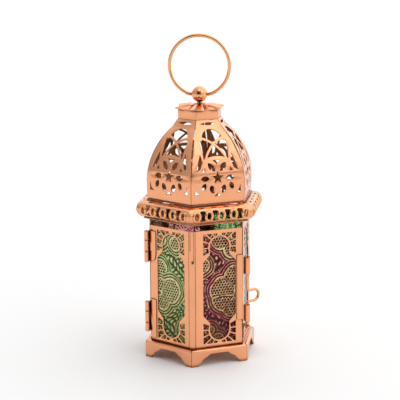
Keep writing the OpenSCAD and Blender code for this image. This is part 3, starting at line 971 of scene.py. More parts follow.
def flat_ring(outer, inner, low):
    """A six-sided ring of sheet, given by its two apothems and its underside."""
    ring = stamped(hexagon(outer), [hexagon(inner, 0.2)], SHEET, 0.13)
    return shaped(ring, lambda x, y, z: (x, y, low + SHEET / 2 + z))


HEAD_MARGIN = 0.9
head_low, head_high = box_mm("head_plate")
head = flat_ring(head_high.x, BODY_A - SHEET - HEAD_MARGIN, head_low.z)
put_sheet("head_plate_skin", head, BODY, "head_plate")

# %% [markdown]
# ## The gallery
# Under the dome runs a half-round bead, one piece to a side. It is pierced by slots, and between
# the slots stand loops: raised oval rings with a hole in each. The strip is stamped flat and
# rolled by a rule, and the loops are swept round their holes in the same flat pattern, so they
# follow the bead wherever it bends. The strip lies a little low and the loops reach full height.

# %% Bead measures
bead_low, bead_high = box_mm("gallery_right")
BEAD_R = 5.85
BEAD_FOOT_A = 33.8
BEAD_A = bead_high.x - BEAD_R
BEAD_Z = bead_low.z + math.sqrt(BEAD_R**2 - (BEAD_FOOT_A - BEAD_A) ** 2)
FOOT_TURN = math.atan2(bead_low.z - BEAD_Z, BEAD_FOOT_A - BEAD_A)
TOP_TURN = math.pi - math.asin((bead_high.z - BEAD_Z) / BEAD_R)
BEAD_LEN = (TOP_TURN - FOOT_TURN) * BEAD_R
BEAD_SINK = 0.55
LOOP_PITCH = 8.3
print(f"bead radius {BEAD_R} mm at height {BEAD_Z:.2f} mm, strip {BEAD_LEN:.1f} mm wide")


def up_bead(height):
    """Strip coordinate of a height above the bead's middle."""
    return (math.asin(height / BEAD_R) - FOOT_TURN) * BEAD_R


def roll_bead(x, y, z):
    """Rolls the strip round the bead; y runs up it from its foot."""
    turn = FOOT_TURN + y / BEAD_R
    reach = BEAD_R - SHEET / 2 + z
    return (BEAD_A + reach * math.cos(turn), x, BEAD_Z + reach * math.sin(turn))


# %% Gallery strip
LOOP_HOLE = (2.4, 4.9)
GAP_HOLE = (3.6, 8.4)
LOOP_RIM_W, LOOP_RIM_H = 0.95, 0.85
TOP_SLOT = (3.2, 1.3)
TOP_SLOT_RISE = BEAD_R * math.sin(math.radians(69))
LOOPS = range(-2, 3)
GAPS = (-1.5, -0.5, 0.5, 1.5)
EDGE_POINTS = 24
BEAD_SEAM = 0.1
equator = up_bead(0)


def gallery_strip():
    """One side's strip: loop holes along the equator, gaps between them and slots above."""
    edge = []
    for i in range(EDGE_POINTS + 1):
        y = BEAD_LEN * i / EDGE_POINTS
        away = BEAD_A + BEAD_R * math.cos(FOOT_TURN + y / BEAD_R)
        edge.append((away * TAN30 - BEAD_SEAM, y))
    outline = edge + mirrored(edge)
    holes = [round_slot((i * LOOP_PITCH, equator), *LOOP_HOLE) for i in LOOPS]
    for i in GAPS:
        holes.append(square_slot((i * LOOP_PITCH, equator), *GAP_HOLE, 1.2))
        holes.append(square_slot((i * LOOP_PITCH, up_bead(TOP_SLOT_RISE)), *TOP_SLOT, 0.3))
    strip = sliced(stamped(outline, holes, SHEET, 0.12), 1, steps(0, BEAD_LEN, 0.75))
    return shaped(strip, lambda x, y, z: roll_bead(x, y, z - BEAD_SINK))


# %% Gallery loops
LOOP_STATIONS, LOOP_SIDES = 36, 12


def gallery_loop(middle):
    """A raised rim round one hole, flattened like wire that was pressed down."""
    half_w = LOOP_HOLE[0] / 2 + LOOP_RIM_W
    half_h = LOOP_HOLE[1] / 2 + LOOP_RIM_W
    rings = []
    for i in range(LOOP_STATIONS):
        turn = 2 * math.pi * i / LOOP_STATIONS
        out = Vector((math.cos(turn) / half_w, math.sin(turn) / half_h)).normalized()
        at = Vector((middle + half_w * math.cos(turn), equator + half_h * math.sin(turn)))
        ring = []
        for j in range(LOOP_SIDES):
            around = 2 * math.pi * j / LOOP_SIDES
            place = at + out * LOOP_RIM_W * math.cos(around)
            ring.append(roll_bead(*place, SHEET / 2 - LOOP_RIM_H * (1 - math.sin(around))))
        rings.append(ring)
    return skin(rings, closed=True)


for side, direction in SIDES.items():
    node = "gallery_" + side
    put_sheet(node + "_skin", gallery_strip(), BODY, node, direction=direction)
    rims = [gallery_loop(i * LOOP_PITCH) for i in LOOPS]
    loops = to_mesh(node + "_loops", rims, direction, 60)
    put(node + "_loops", loops, wire_metal, BODY, "rose_gold_wire")

# %% [markdown]
# ## The dome
# Six curved panels lean together into the dome. Seen from the side a panel is a nearly upright
# skirt, then a quarter curve, then a short straight lip under the collar. Its pattern is drawn
# as seen from the front, with height as height, and the rule looks up how far out each height
# lies and which way the skin faces there.

# %% Dome profile
dome_low, dome_high = box_mm("dome_panel_right")
WIDEST_Z, SHOULDER_Z = 117, 151.6
DOME_R, SKIRT_R = 46.5, 116
DOME_A = dome_high.x
COLLAR_A = 14.9 * math.cos(math.radians(30))
SHOULDER_A = DOME_A - DOME_R + math.sqrt(DOME_R**2 - (SHOULDER_Z - WIDEST_Z) ** 2)


def dome_place(z):
    """Distance from the axis at a height, and the two parts of the outward direction."""
    if z <= SHOULDER_Z:
        radius = SKIRT_R if z <= WIDEST_Z else DOME_R
        up = (z - WIDEST_Z) / radius
        level = math.sqrt(1 - up**2)
        return DOME_A - radius + radius * level, level, up
    t = (z - SHOULDER_Z) / (dome_high.z - SHOULDER_Z)
    run, rise = SHOULDER_A - COLLAR_A, dome_high.z - SHOULDER_Z
    length = math.hypot(run, rise)
    return SHOULDER_A - run * t, rise / length, run / length


def over_dome(x, y, z):
    """Stands a drawn panel up on the dome; y is its height on the lantern."""
    away, level, up = dome_place(y)
    depth = SHEET / 2 - z
    return (away - depth * level, x, y - depth * up)


print(f"dome from {dome_place(dome_low.z)[0]:.2f} mm wide to {dome_place(dome_high.z)[0]:.2f} mm")

# %% [markdown]
# The openings come in mirrored pairs, apart from the middle ones. The arched window at the top
# is crossed by two curved ribs. Its four panes are bounded by arcs only, so each corner is found
# where two circles meet, and no point needs to be guessed.

# %% Crossed window
ARCH_MID, ARCH_TOP_R = (0, 144), 7.3
RIB_R, RIB_W = 22.2, 1.4
RIB_LEFT, RIB_RIGHT = (-13.3, 125), (13.3, 125)
BOW_MID, BOW_R = (0, 115.5), 20.2
SILL_X = 8.35
JAMB = [(-7.25, 144.8), (-8.9, 144.8)]
RIB_OUT, RIB_IN = RIB_R + RIB_W / 2, RIB_R - RIB_W / 2


def crossed_window():
    """The four openings between the two ribs of the arched window."""
    crown = circles_meet(RIB_LEFT, RIB_OUT, RIB_RIGHT, RIB_OUT)
    left = circles_meet(RIB_LEFT, RIB_OUT, ARCH_MID, ARCH_TOP_R)
    right = (-left[0], left[1])
    top = arc(ARCH_MID, ARCH_TOP_R, *[
        math.degrees(math.atan2(p[1] - ARCH_MID[1], p[0])) for p in (right, left)
    ])
    top += arc_through(RIB_LEFT, left, crown)[1:] + arc_through(RIB_RIGHT, crown, right)[1:-1]
    apex = circles_meet(RIB_LEFT, RIB_IN, RIB_RIGHT, RIB_IN)
    foot = circles_meet(RIB_LEFT, RIB_IN, BOW_MID, BOW_R)
    foot = (abs(foot[0]), foot[1])
    low = arc_through(RIB_LEFT, foot, apex) + arc_through(RIB_RIGHT, apex, (-foot[0], foot[1]))[1:]
    low += arc_through(BOW_MID, (-foot[0], foot[1]), foot)[1:-1]
    tip = circles_meet(RIB_LEFT, RIB_IN, RIB_RIGHT, RIB_OUT)
    shoulder = circles_meet(RIB_LEFT, RIB_IN, ARCH_MID, ARCH_TOP_R)
    heel = circles_meet(RIB_RIGHT, RIB_OUT, BOW_MID, BOW_R)
    heel = (-abs(heel[0]), heel[1])
    sill = (-SILL_X, BOW_MID[1] + math.sqrt(BOW_R**2 - SILL_X**2))
    left_pane = arc_through(RIB_LEFT, tip, shoulder) + JAMB + [sill]
    left_pane += arc_through(BOW_MID, sill, heel)[1:] + arc_through(RIB_RIGHT, heel, tip)[1:-1]
    return [eased(ring, 0.3) for ring in (top, low, left_pane, mirrored(left_pane))]


print("openings in the crossed window:", len(crossed_window()))

# %% The other openings
STAR_WAIST = 0.42


def star(middle, radius):
    points = []
    for i in range(10):
        turn = math.radians(90 + 36 * i)
        reach = radius if i % 2 == 0 else STAR_WAIST * radius
        points.append((middle[0] + reach * math.cos(turn), middle[1] + reach * math.sin(turn)))
    return points


def dome_openings():
    middle = [
        pointed_oval((0, 154.3), 11, 1.6, 0),
        [(-2.6, 133.4), (2.6, 133.4), (0, 130.8)],
        star((0, 122.4), 4.1),
        [(-2.4, 110.8), (2.4, 110.8), (0, 112.8)],
    ]
    beside = [
        [(10.4, 137.2), (9.7, 132.5), (11.4, 128.2), (13.9, 126.6), (12.7, 131.4)],
        [(9, 128.8), (8.4, 126.4), (10.6, 126.4)],
        pointed_oval((3.9, 129.1), 6.6, 3.4, 54),
        pointed_oval((8.5, 122.2), 5.8, 3.4, 0),
        pointed_oval((3.8, 115.2), 5.6, 3.4, 72),
        pointed_oval((9.3, 117), 5, 3, 112),
        [(12.4, 112.2), (15.6, 112.2), (15.2, 117.6), (14.4, 114.4)],
    ]
    rings = [eased(ring, 0.25) for ring in middle + beside + [mirrored(ring) for ring in beside]]
    return rings + crossed_window()


print("openings in a dome panel:", len(dome_openings()))

# %% Dome panels
DOME_SEAM = 0.2
DOME_GAPE = 0.5
GAPE_Z, GAPE_SPREAD = 141, 8
DOME_EDGE_POINTS = 60


def dome_seam(z):
    """Half the gap between two panels: they part a little where they curve most."""
    return DOME_SEAM + DOME_GAPE * math.exp(-(((z - GAPE_Z) / GAPE_SPREAD) ** 2))


def dome_outline():
    edge = []
    for i in range(DOME_EDGE_POINTS + 1):
        z = dome_low.z + (dome_high.z - dome_low.z) * i / DOME_EDGE_POINTS
        edge.append((dome_place(z)[0] * TAN30 - dome_seam(z), z))
    return edge + mirrored(edge)


def dome_sheet():
    sheet = stamped(dome_outline(), dome_openings(), SHEET, 0.13)
    sheet = sliced(sheet, 1, steps(dome_low.z, dome_high.z, 1.0))
    return shaped(sheet, over_dome)


for side, direction in SIDES.items():
    node = "dome_panel_" + side
    put_sheet(node + "_skin", dome_sheet(), BODY, node, direction=direction)

# %% Dome flange
FLANGE_REACH = 2.6
flange_low, flange_high = box_mm("dome_flange")
flange = flat_ring(flange_high.x, BODY_A - FLANGE_REACH, flange_low.z)
put_sheet("dome_flange_skin", flange, BODY, "dome_flange")

# %% [markdown]
# ## Collar, cap plate and flower
# The collar is a strip folded round the top of the dome, so each of its corners shows a thin
# dark line. A cut plate closes it, and a six-petalled flower of thin sheet sits on the plate.
# The petals are domed by a rule: up from the pin to a crest, then down to the tips, with a low
# rib along the middle of each.

# %% Collar and cap plate
collar_low, collar_high = box_mm("collar")
COLLAR_FACE = collar_high.x
COLLAR_SEAM = 0.12
PLATE_BORE_R = 1.8
collar_sides = []
for direction in SIDES.values():
    half = COLLAR_FACE * TAN30 - COLLAR_SEAM
    strip = stamped(rectangle(-half, half, collar_low.z, collar_high.z, 0.2), [], SHEET, 0.13)
    strip = sliced(strip, 1, steps(collar_low.z, collar_high.z, 1))
    strip = shaped(strip, stand_up(COLLAR_FACE, collar_low.z, collar_high.z))
    strip.transform(Matrix.Rotation(math.radians(direction), 4, "Z"))
    collar_sides.append(strip)
put_sheet("collar_skin", collar_sides, BODY, "collar")

plate_low, plate_high = box_mm("cap_plate")
plate = stamped(hexagon(plate_high.x), [arc((0, 0), PLATE_BORE_R, 360, 6)], SHEET, 0.15)
plate = shaped(plate, lambda x, y, z: (x, y, plate_low.z + SHEET / 2 + z))
put_sheet("cap_plate_skin", plate, BODY, "cap_plate")

# %% Petals
flower_high = box_mm("flower_cap")[1]
PETAL_ROOT = 1
PETAL_TIP = flower_high.y
PETAL_W = 10.6
PETAL_LEN = PETAL_TIP - PETAL_ROOT


def petal_edge():
    """One petal from notch to tip to notch, pointing along +x."""
    radius = (PETAL_LEN**2 / 4 + PETAL_W**2 / 4) / PETAL_W
    middle = (PETAL_ROOT + PETAL_LEN / 2, PETAL_W / 2 - radius)
    slope = Vector((math.cos(math.radians(30)), math.sin(math.radians(30))))
    along = slope.dot(Vector(middle))
    notch = slope * (along + math.sqrt(radius**2 - Vector(middle).length_squared + along**2))
    upper = arc_through(middle, (PETAL_TIP, 0), tuple(notch))
    lower = [(x, -y) for x, y in reversed(upper)]
    return lower[:-1] + upper[:-1]


def flower_outline():
    ring = []
    for k in range(6):
        turn = Matrix.Rotation(math.radians(30 + 60 * k), 2)
        ring += [tuple(turn @ Vector(point)) for point in petal_edge()]
    return eased(ring, 0.5)


print("points round the flower:", len(flower_outline()))

# %% Flower cap
FLOWER_T = 0.5
FLOWER_BORE_R = 1.85
FLOWER_SLICE = 0.55
CREST_R = 5.0
CREST_Z = flower_high.z - 0.75
PIN_DIP, TIP_DROP, CUPPING = 2.1, 1.9, 1.7
RIB_RISE, RIB_HALF_W = 0.3, 0.8
VALLEY_DEPTH, VALLEY_HALF_W = 0.55, 0.45


def bloom(x, y, z):
    """Domes the flat flower, with a rib along each petal and a groove between two petals."""
    reach = math.hypot(x, y)
    turn = (math.degrees(math.atan2(y, x)) + 360) % 60 - 30
    off_rib = abs(math.sin(math.radians(turn))) * reach
    if reach < CREST_R:
        rise = CREST_Z - (1 - ((reach - PLATE_BORE_R) / (CREST_R - PLATE_BORE_R))) ** 2 * PIN_DIP
    else:
        fall = (reach - CREST_R) / (PETAL_TIP - CREST_R)
        eases_in = min(1, fall * 5)
        off_valley = math.sin(math.radians(30 - abs(turn))) * reach
        rise = CREST_Z - TIP_DROP * fall**1.2
        rise += RIB_RISE * math.exp(-((off_rib / RIB_HALF_W) ** 2)) * eases_in
        rise -= CUPPING * (off_rib / 5) ** 2
        rise -= VALLEY_DEPTH * math.exp(-((off_valley / VALLEY_HALF_W) ** 2)) * eases_in
    return (x, y, rise + z)


flower = stamped(flower_outline(), [arc((0, 0), FLOWER_BORE_R, 360, 6)], FLOWER_T, 0.12)
for axis in (0, 1):
    flower = sliced(flower, axis, steps(-PETAL_TIP, PETAL_TIP, FLOWER_SLICE))
put_sheet("flower_cap_skin", shaped(flower, bloom), BODY, "flower_cap")

# %% [markdown]
# ## Split pin, ball and ring
# A split pin comes down through the flower and its two legs open under the cap plate. The ball
# on its head is a turned bead with a cross hole, and the carrying ring is one wire whose ends
# turn in and pivot in that hole, so the wire thins a little where it enters.

# %% Split pin
pin_low, pin_high = box_mm("split_pin")
LEG_X, LEG_BEND_R = 0.75, 1.2
LEG_FLAT = 1.6
leg_z = pin_low.z + 0.5
leg_path = [(LEG_X, 0, pin_high.z - 0.4), (LEG_X, 0, leg_z + 1.6)]
for turn in (0.3, 0.8, 1.2, 1.57):
    out = LEG_X + LEG_BEND_R * (1 - math.cos(turn))
    leg_path.append((out, 0, leg_z + LEG_BEND_R * (1 - math.sin(turn))))
leg_path.append((pin_high.x - 0.4, 0, leg_z))
legs = []
for turn in (0, 180):
    leg = wire(leg_path, [0.74] * 2 + [0.66] * 4 + [0.5], (0, 1, 0))
    leg.transform(Matrix.Rotation(math.radians(turn), 4, "Z") @ Matrix.Diagonal((1, LEG_FLAT, 1, 1)))
    legs.append(leg)
pin = to_mesh("split_pin_skin", legs)
put("split_pin_skin", pin, wire_metal, "finial", "rose_gold_wire", "split_pin")

# %% Ball
BALL_R = 5.1
BALL_Z = box_mm("ball_finial")[1].z - BALL_R
PIVOT_R = 1.0
BORE_R = PIVOT_R + 0.06
BORE_LIP, BORE_SHOULDER = 0.25, 0.45
mouth = math.degrees(math.asin((BORE_R + BORE_LIP) / BALL_R))
ball_outline = [(y, x) for x, y in arc((0, 0), BALL_R, mouth, 180 - mouth)]
ball_outline += [(BORE_R, -BALL_R + BORE_SHOULDER), (BORE_R, BALL_R - BORE_SHOULDER)]
ball = turned(ball_outline, 56)
ball.transform(Matrix.Translation((0, 0, BALL_Z)) @ Matrix.Rotation(math.pi / 2, 4, "Y"))
ball = to_mesh("ball_finial_skin", ball, crisp=50)
put("ball_finial_skin", ball, wire_metal, "finial", "rose_gold_wire", "ball_finial")

# %% Carrying ring
ring_high = box_mm("carry_ring")[1]
WIRE_R = ring_high.y
RING_R = ring_high.x - WIRE_R
RING_Z = ring_high.z - WIRE_R - RING_R
RING_STEPS = 110
KNEE_TURN = 0.09
ring_end = math.asin((RING_Z - BALL_Z) / RING_R)
bow_start = KNEE_TURN - ring_end
bow_turn = math.pi - 2 * bow_start
bow = []
for i in range(RING_STEPS + 1):
    turn = bow_start + bow_turn * i / RING_STEPS
    bow.append((RING_R * math.cos(turn), 0, RING_Z + RING_R * math.sin(turn)))
knee = RING_R * math.cos(ring_end)
arm = [
    (2.3, 0, BALL_Z),
    (knee - 1.3, 0, BALL_Z),
    (knee - 0.45, 0, BALL_Z + 0.03),
    (knee + 0.18, 0, BALL_Z + 0.3),
]
other_arm = [(-x, y, z) for x, y, z in reversed(arm)]
arm_radii = [PIVOT_R, PIVOT_R, 1.04, 1.08]
ring_radii = arm_radii + [WIRE_R] * len(bow) + arm_radii[::-1]
ring = wire(arm + bow + other_arm, ring_radii, (0, 1, 0), 20)
ring = to_mesh("carry_ring_skin", ring, crisp=60)
put("carry_ring_skin", ring, wire_metal, "carry_ring", "rose_gold_wire", "carry_ring")

# %% [markdown]
# ## Leaves rolled round a pin
# Each hinge leaf is a strip of sheet whose tongues are rolled round the pin. A rolled strip is
# still a flat pattern, so the same stamping tool serves: the rule leaves the flat part alone,
# ramps it to the height of the roll, and then winds the tongue round the axis.

# %% Rolled leaf
LEAF_RAMP = 1.7
LEAF_AIR = 0.02


def leaf_outline(inner, outer, low, high, tongues, far, scoop=0.0):
    """Scoop rounds off the lower corner that lies on the sheet."""
    ring = [(inner + scoop * t**2, low + 1.9 * scoop * (1 - t) ** 2) for t in (0, 0.25, 0.5, 0.75)]
    ring += [(inner + scoop, low), (outer, low)]
    for start, end in tongues:
        ring += [(outer, start), (far, start), (far, end), (outer, end)]
    return ring + [(outer, high), (inner, high)]


def rolled_leaf(outline, axis, roll_r, hand, ease=0.35):
    """Rolls tongues round an axis given as (distance from the lantern's axis, along the side)."""
    ramp = LEAF_RAMP
    level = BODY_A + SHEET / 2 + LEAF_AIR

    def wind(x, y, z):
        if x <= axis[1]:
            t = min(1.0, max(0.0, (x - axis[1] + ramp) / ramp))
            blend = t * t * (3 - 2 * t)
            return (level + (axis[0] - roll_r - level) * blend + z, hand * x, y)
        turn = (x - axis[1]) / roll_r
        reach = roll_r - z
        return (axis[0] - reach * math.cos(turn), hand * (axis[1] + reach * math.sin(turn)), y)

    sheet = stamped(eased(outline, ease), [], SHEET - 0.04, 0.12)
    far = max(point[0] for point in outline)
    sheet = sliced(sheet, 0, steps(axis[1] - ramp, far, 0.3) + [axis[1] - ramp])
    return shaped(sheet, wind)


# %% Hinges
HINGE_R = 37.3
HINGE_TURN = math.radians(210)
HINGE_ROLL = 1.19
HINGE_WIND = math.radians(318)
PIN_R = 0.74
UPPER_SCOOP = 3.4
UPPER_KNUCKLES = (64.1, 71.3, 78.9, 84.6)
LOWER_KNUCKLES = (17.1, 23.3, 31.2, 37.3)
LEAF_GAP = 0.3
LEAF_START, LEAF_END = 12.0, 16.85
hinge_axis = (HINGE_R * math.cos(math.radians(30)), HINGE_R / 2)
leaf_far = hinge_axis[1] + HINGE_ROLL * HINGE_WIND
pin_x, pin_y = HINGE_R * math.cos(HINGE_TURN), HINGE_R * math.sin(HINGE_TURN)
for name, heights in (("upper", UPPER_KNUCKLES), ("lower", LOWER_KNUCKLES)):
    bottom, top = heights[0], heights[3]
    tongues = [heights[0:2], heights[2:4]]
    outline = leaf_outline(LEAF_START, LEAF_END, bottom, top, tongues, leaf_far)
    leaf = rolled_leaf(outline, hinge_axis, HINGE_ROLL, 1)
    node = "hinge_body_leaf_" + name
    put_sheet(node + "_skin", leaf, BODY, node, direction=SIDES["left"])

    node = "hinge_door_leaf_" + name
    door_low, door_high = box_mm(node)
    tongues = [(heights[1] + LEAF_GAP, heights[2] - LEAF_GAP)]
    scoop = UPPER_SCOOP if name == "upper" else 0.0
    outline = leaf_outline(
        LEAF_START, LEAF_END, door_low.z, door_high.z, tongues, leaf_far, scoop
    )
    leaf = rolled_leaf(outline, hinge_axis, HINGE_ROLL, -1)
    put_sheet(node + "_skin", leaf, "door", node, direction=SIDES["front_left"])

    node = "hinge_pin_" + name
    path = [(pin_x, pin_y, z) for z in (bottom - 0.1, bottom, top, top + 0.1)]
    pin = to_mesh(node, wire(path, PIN_R, (1, 0, 0)))
    put(node + "_skin", pin, wire_metal, BODY, "rose_gold_wire", node)

# %% [markdown]
# ## Latch
# The door's free edge carries a plate with two barrels, and a wire bolt slides in them. The wire
# is bent into a finger loop between the barrels, and its foot drops through the eye of a keeper
# on the right side. The plate is rolled like the hinge leaves and the bolt is one swept wire.

# %% Latch plate
LATCH_OUT, LATCH_SIDE = 32.0, 20.3
LATCH_ROLL = 1.34
LATCH_WIND = math.radians(322)
latch_turn = math.radians(SIDES["front_right"])
latch_x = LATCH_OUT * math.cos(latch_turn) - LATCH_SIDE * math.sin(latch_turn)
latch_y = LATCH_OUT * math.sin(latch_turn) + LATCH_SIDE * math.cos(latch_turn)
LOWER_BARREL, UPPER_BARREL = (26.2, 37.5), (57.7, 69.5)
PLATE_Z = (27.8, 70.9)
PLATE_START, PLATE_END = 13.2, 17.3
barrels = [LOWER_BARREL, UPPER_BARREL]
plate_far = LATCH_SIDE + LATCH_ROLL * LATCH_WIND
plate_outline = leaf_outline(PLATE_START, PLATE_END, *PLATE_Z, barrels, plate_far)
latch = rolled_leaf(plate_outline, (LATCH_OUT, LATCH_SIDE), LATCH_ROLL, 1, 0.5)
put_sheet("latch_plate_skin", latch, "door", "latch_plate", direction=SIDES["front_right"])

# %% Bolt
BOLT_R = 0.9
BOLT_TURN_R = 1.4
BOLT_Z, LOOP_Z = (21.2, 68.8), (39.4, 46.9)
LOOP_REACH = 9.8
LOOP_TURN = 45


def bolt_path():
    """The wire's line as (reach, height), from its foot to its top."""
    half = (LOOP_Z[1] - LOOP_Z[0]) / 2
    bow_x = LOOP_REACH - BOLT_R - half
    line = [(0, BOLT_Z[0] + 0.6), (0, 26), (0, 32)]
    line += arc((BOLT_TURN_R, LOOP_Z[0] - BOLT_TURN_R), BOLT_TURN_R, 180, 90)
    line += arc((bow_x, sum(LOOP_Z) / 2), half, -90, 90)
    line += arc((BOLT_TURN_R, LOOP_Z[1] + BOLT_TURN_R), BOLT_TURN_R, 270, 180)
    return line + [(0, 58), (0, BOLT_Z[1] - 0.6)]


bolt = wire([(x, 0, z) for x, z in bolt_path()], BOLT_R, (0, 1, 0), 18)
to_latch = Matrix.Translation((latch_x, latch_y, 0))
bolt.transform(to_latch @ Matrix.Rotation(math.radians(LOOP_TURN), 4, "Z"))
bolt = to_mesh("latch_bolt_skin", bolt, crisp=60)
put("latch_bolt_skin", bolt, wire_metal, "latch_bolt", "rose_gold_wire", "latch_bolt")

# %% Keeper
keeper_low, keeper_high = box_mm("latch_keeper")
EYE_R = 1.8
EYE_PLAY = 0.25
TAB_ROOT = BODY_A + 0.35
eye = (latch_x, latch_y)
tab_outline = [(TAB_ROOT, -12.4)] + arc(eye, EYE_R, 55, -130) + [(TAB_ROOT, -16.8)]
tab = stamped(eased(tab_outline, 0.4), [arc(eye, BOLT_R + EYE_PLAY, 0, 354)], SHEET, 0.12)
tab = shaped(tab, lambda x, y, z: (x, y, keeper_high.z - SHEET / 2 + z))
upright = stamped(rectangle(-16.9, -12.3, keeper_low.z, keeper_high.z - 0.05, 0.6), [], SHEET, 0.12)
upright = shaped(upright, lambda x, y, z: (BODY_A + SHEET / 2 + z, x, y))
put_sheet("latch_keeper_skin", [tab, upright], BODY, "latch_keeper")

# %% [markdown]
# ## Glass with a raised pattern
# The panes carry clusters of overlapping shells: rims that run round them together, and inside
# them a net of small hollows. Between them lies a crumpled leafy ground. A displaced grid is the
# direct way: one height for each grid point, worked out from its depth inside the shells.

# %% Ridges, leaves and dots
NET_PITCH, NET_ROW = 1.95, 1.7
HOLLOW_R, HOLLOW_SLOPE = 0.58, 0.30


def ridge(off, half):
    """Height of a rounded ridge at a distance off its crest; half is its half width."""
    return np.clip(1 - (off / half) ** 2, 0, 1) ** 0.7


def leafy_ground(s, z, turn):
    """Short crossing strokes, bent by slow waves so that they never line up."""
    u = s * math.cos(turn) + z * math.sin(turn) + 1.6 * np.sin(z * 0.31 + turn)
    v = z * math.cos(turn) - s * math.sin(turn) + 1.3 * np.sin(s * 0.43)
    strokes = np.sin(u * 1.25 + 1.2 * np.sin(v * 0.7)) * np.sin(v * 0.85 + 0.9 * np.sin(u * 0.5))
    return np.clip(np.abs(strokes) * 1.7 - 0.4, 0, 1)


def dot_net(s, z):
    """A raised net: round hollows in rows that are offset by half a step."""
    line = np.floor(z / NET_ROW)
    x = (s / NET_PITCH + 0.5 * (line % 2)) % 1 - 0.5
    y = (z / NET_ROW) % 1 - 0.5
    return np.clip((np.hypot(x * NET_PITCH, y * NET_ROW) - HOLLOW_R) / HOLLOW_SLOPE, 0, 1)


print(f"dotted ground: a hollow every {NET_PITCH} mm, rows {NET_ROW} mm apart")

# %% Shells
RIM_HALF_W, OUTER_RIM_HALF_W = 0.8, 0.62
OUTER_RIMS = (1.9, 3.7)
SHELL_REACH = 4.4


def shell_relief(s, z, clusters, turn):
    """Height and stipple on a grid; a later cluster of shells covers an earlier one."""
    height = leafy_ground(s, z, turn)
    stipple = np.zeros_like(s)
    for shells in clusters:
        depths = np.sort([radius - np.hypot(s - x, z - y) for x, y, radius in shells], axis=0)
        depth = depths[-1] + 0.3 * np.sin(s * 0.45 + z * 0.35)
        rims = ridge(depth, RIM_HALF_W)
        for step in OUTER_RIMS:
            rims = np.maximum(rims, 0.92 * ridge(depth + step, OUTER_RIM_HALF_W))
        net = dot_net(s, z)
        if len(shells) > 1:
            apart = depths[-1] - depths[-2]
            net = np.where(apart < 1.3, ridge(apart, 0.9), net)
        height = np.where(depth > -SHELL_REACH, np.maximum(rims, net * (depth > 0.7)), height)
        stipple = np.where(depth > -SHELL_REACH, depth > -0.7, stipple)
    return height, stipple.astype(float)


# %% [markdown]
# Shells come in clusters whose outlines run together like a cloud's. A shell is its middle along
# the side, its height and its radius. Two more rims follow each cluster's outline from outside.
# The pattern is pressed into the outer face only. The inner face is flat, but it carries the
# same two attributes, because glass with a pattern shows it from both sides.

# %% Where the shells lie
SHELLS = {
    "front_right": [
        [(-11.5, 65.5, 5.0)],
        [(-6.0, 22.0, 3.0), (-1.0, 15.0, 4.5)],
        [(2.0, 82.5, 6.8), (10.2, 75.5, 6.2)],
        [(10.8, 57.0, 6.6), (3.0, 48.5, 8.4), (3.2, 42.0, 7.2), (9.0, 36.5, 6.0)],
    ],
    "front_left": [
        [(12.0, 22.0, 5.0)],
        [(-10.5, 60.5, 6.0)],
        [(3.5, 79.0, 4.6), (-9.0, 79.5, 4.0)],
        [(-1.5, 47.0, 8.0), (-9.5, 49.5, 4.5), (-7.5, 38.5, 5.2)],
    ],
}
print("clusters of shells:", {side: len(clusters) for side, clusters in SHELLS.items()})

# %% A pane's mesh
RELIEF = 0.5
pane_low, pane_high = box_mm("pane_right")
PANE_Z = (pane_low.z, pane_high.z)
PANE_OUT, PANE_IN = pane_high.x, pane_low.x
PANE_HALF_W = pane_high.y


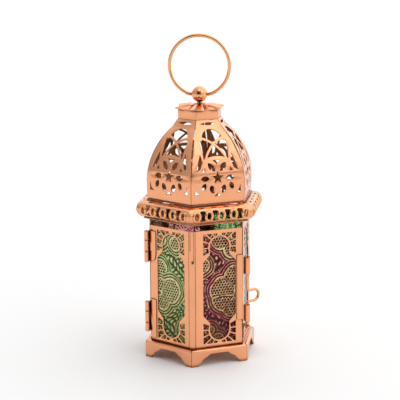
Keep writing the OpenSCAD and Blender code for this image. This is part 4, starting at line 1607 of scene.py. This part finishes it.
def pane_mesh(clusters, turn, step):
    """A slab whose outer face is a displaced grid with steps of about the length given."""
    columns = round(2 * PANE_HALF_W / step)
    rows = round((PANE_Z[1] - PANE_Z[0]) / step)
    across = np.linspace(-PANE_HALF_W, PANE_HALF_W, columns + 1)
    upward = np.linspace(*PANE_Z, rows + 1)
    s, z = np.meshgrid(across, upward)
    height, stipple = shell_relief(s, z, clusters, turn)
    slab = bmesh.new()
    relief_layer = slab.verts.layers.float.new("relief")
    stipple_layer = slab.verts.layers.float.new("stipple")

    def grid_at(reaches):
        """A grid of vertices; reaches gives how far from the axis each of them stands."""
        grid = []
        for j in range(rows + 1):
            line = []
            for i in range(columns + 1):
                vert = slab.verts.new((reaches[j, i], s[j, i], z[j, i]))
                vert[relief_layer] = float(height[j, i])
                vert[stipple_layer] = float(stipple[j, i])
                line.append(vert)
            grid.append(line)
        return grid

    front = grid_at(PANE_OUT - RELIEF * (1 - height))
    back = grid_at(np.full_like(height, PANE_IN))
    for j in range(rows):
        for i in range(columns):
            corners = ((j, i), (j, i + 1), (j + 1, i + 1), (j + 1, i))
            slab.faces.new([front[a][b] for a, b in corners])
            slab.faces.new([back[a][b] for a, b in corners[::-1]])
    rim = [(0, i) for i in range(columns)] + [(j, columns) for j in range(rows)]
    rim += [(rows, i) for i in range(columns, 0, -1)] + [(j, 0) for j in range(rows, 0, -1)]
    for (j0, i0), (j1, i1) in zip(rim, rim[1:] + rim[:1]):
        slab.faces.new((front[j0][i0], front[j1][i1], back[j1][i1], back[j0][i0]))
    return slab


# %% Glaze the lantern
PANE_SHIFT = {"front_right": 0.8, "front_left": 0.3}
FINE, COARSE = 0.32, 0.6
for number, (side, direction) in enumerate(SIDES.items()):
    node = "pane_" + side
    on_door = side in PANE_SHIFT
    clusters = SHELLS.get(side, SHELLS["front_right" if number % 2 else "front_left"])
    slab = pane_mesh(clusters, 0.5 + 0.4 * number, FINE if on_door else COARSE)
    slab.transform(Matrix.Translation((0, PANE_SHIFT.get(side, 0), 0)))
    mesh = to_mesh(node + "_glass", slab, direction, 60)
    glass, slot = PANE_GLASS[side]
    put(node + "_glass", mesh, glass, "door" if on_door else BODY, slot, node)

# %% [markdown]
# ## Pieces that stay as the model made them
# The small angle clips behind the panes are right as they are: short bent strips. They keep
# their meshes and take the darker inner plating, whose darker colour is partly painted shade.

# %% Clips
for node in ("body_pane_clips", "door_pane_clips"):
    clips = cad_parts[node]
    clips.data.materials.clear()
    clips.data.materials.append(shaded_inner_metal)
    print(node, "keeps its", len(clips.data.polygons), "faces")

# %% [markdown]
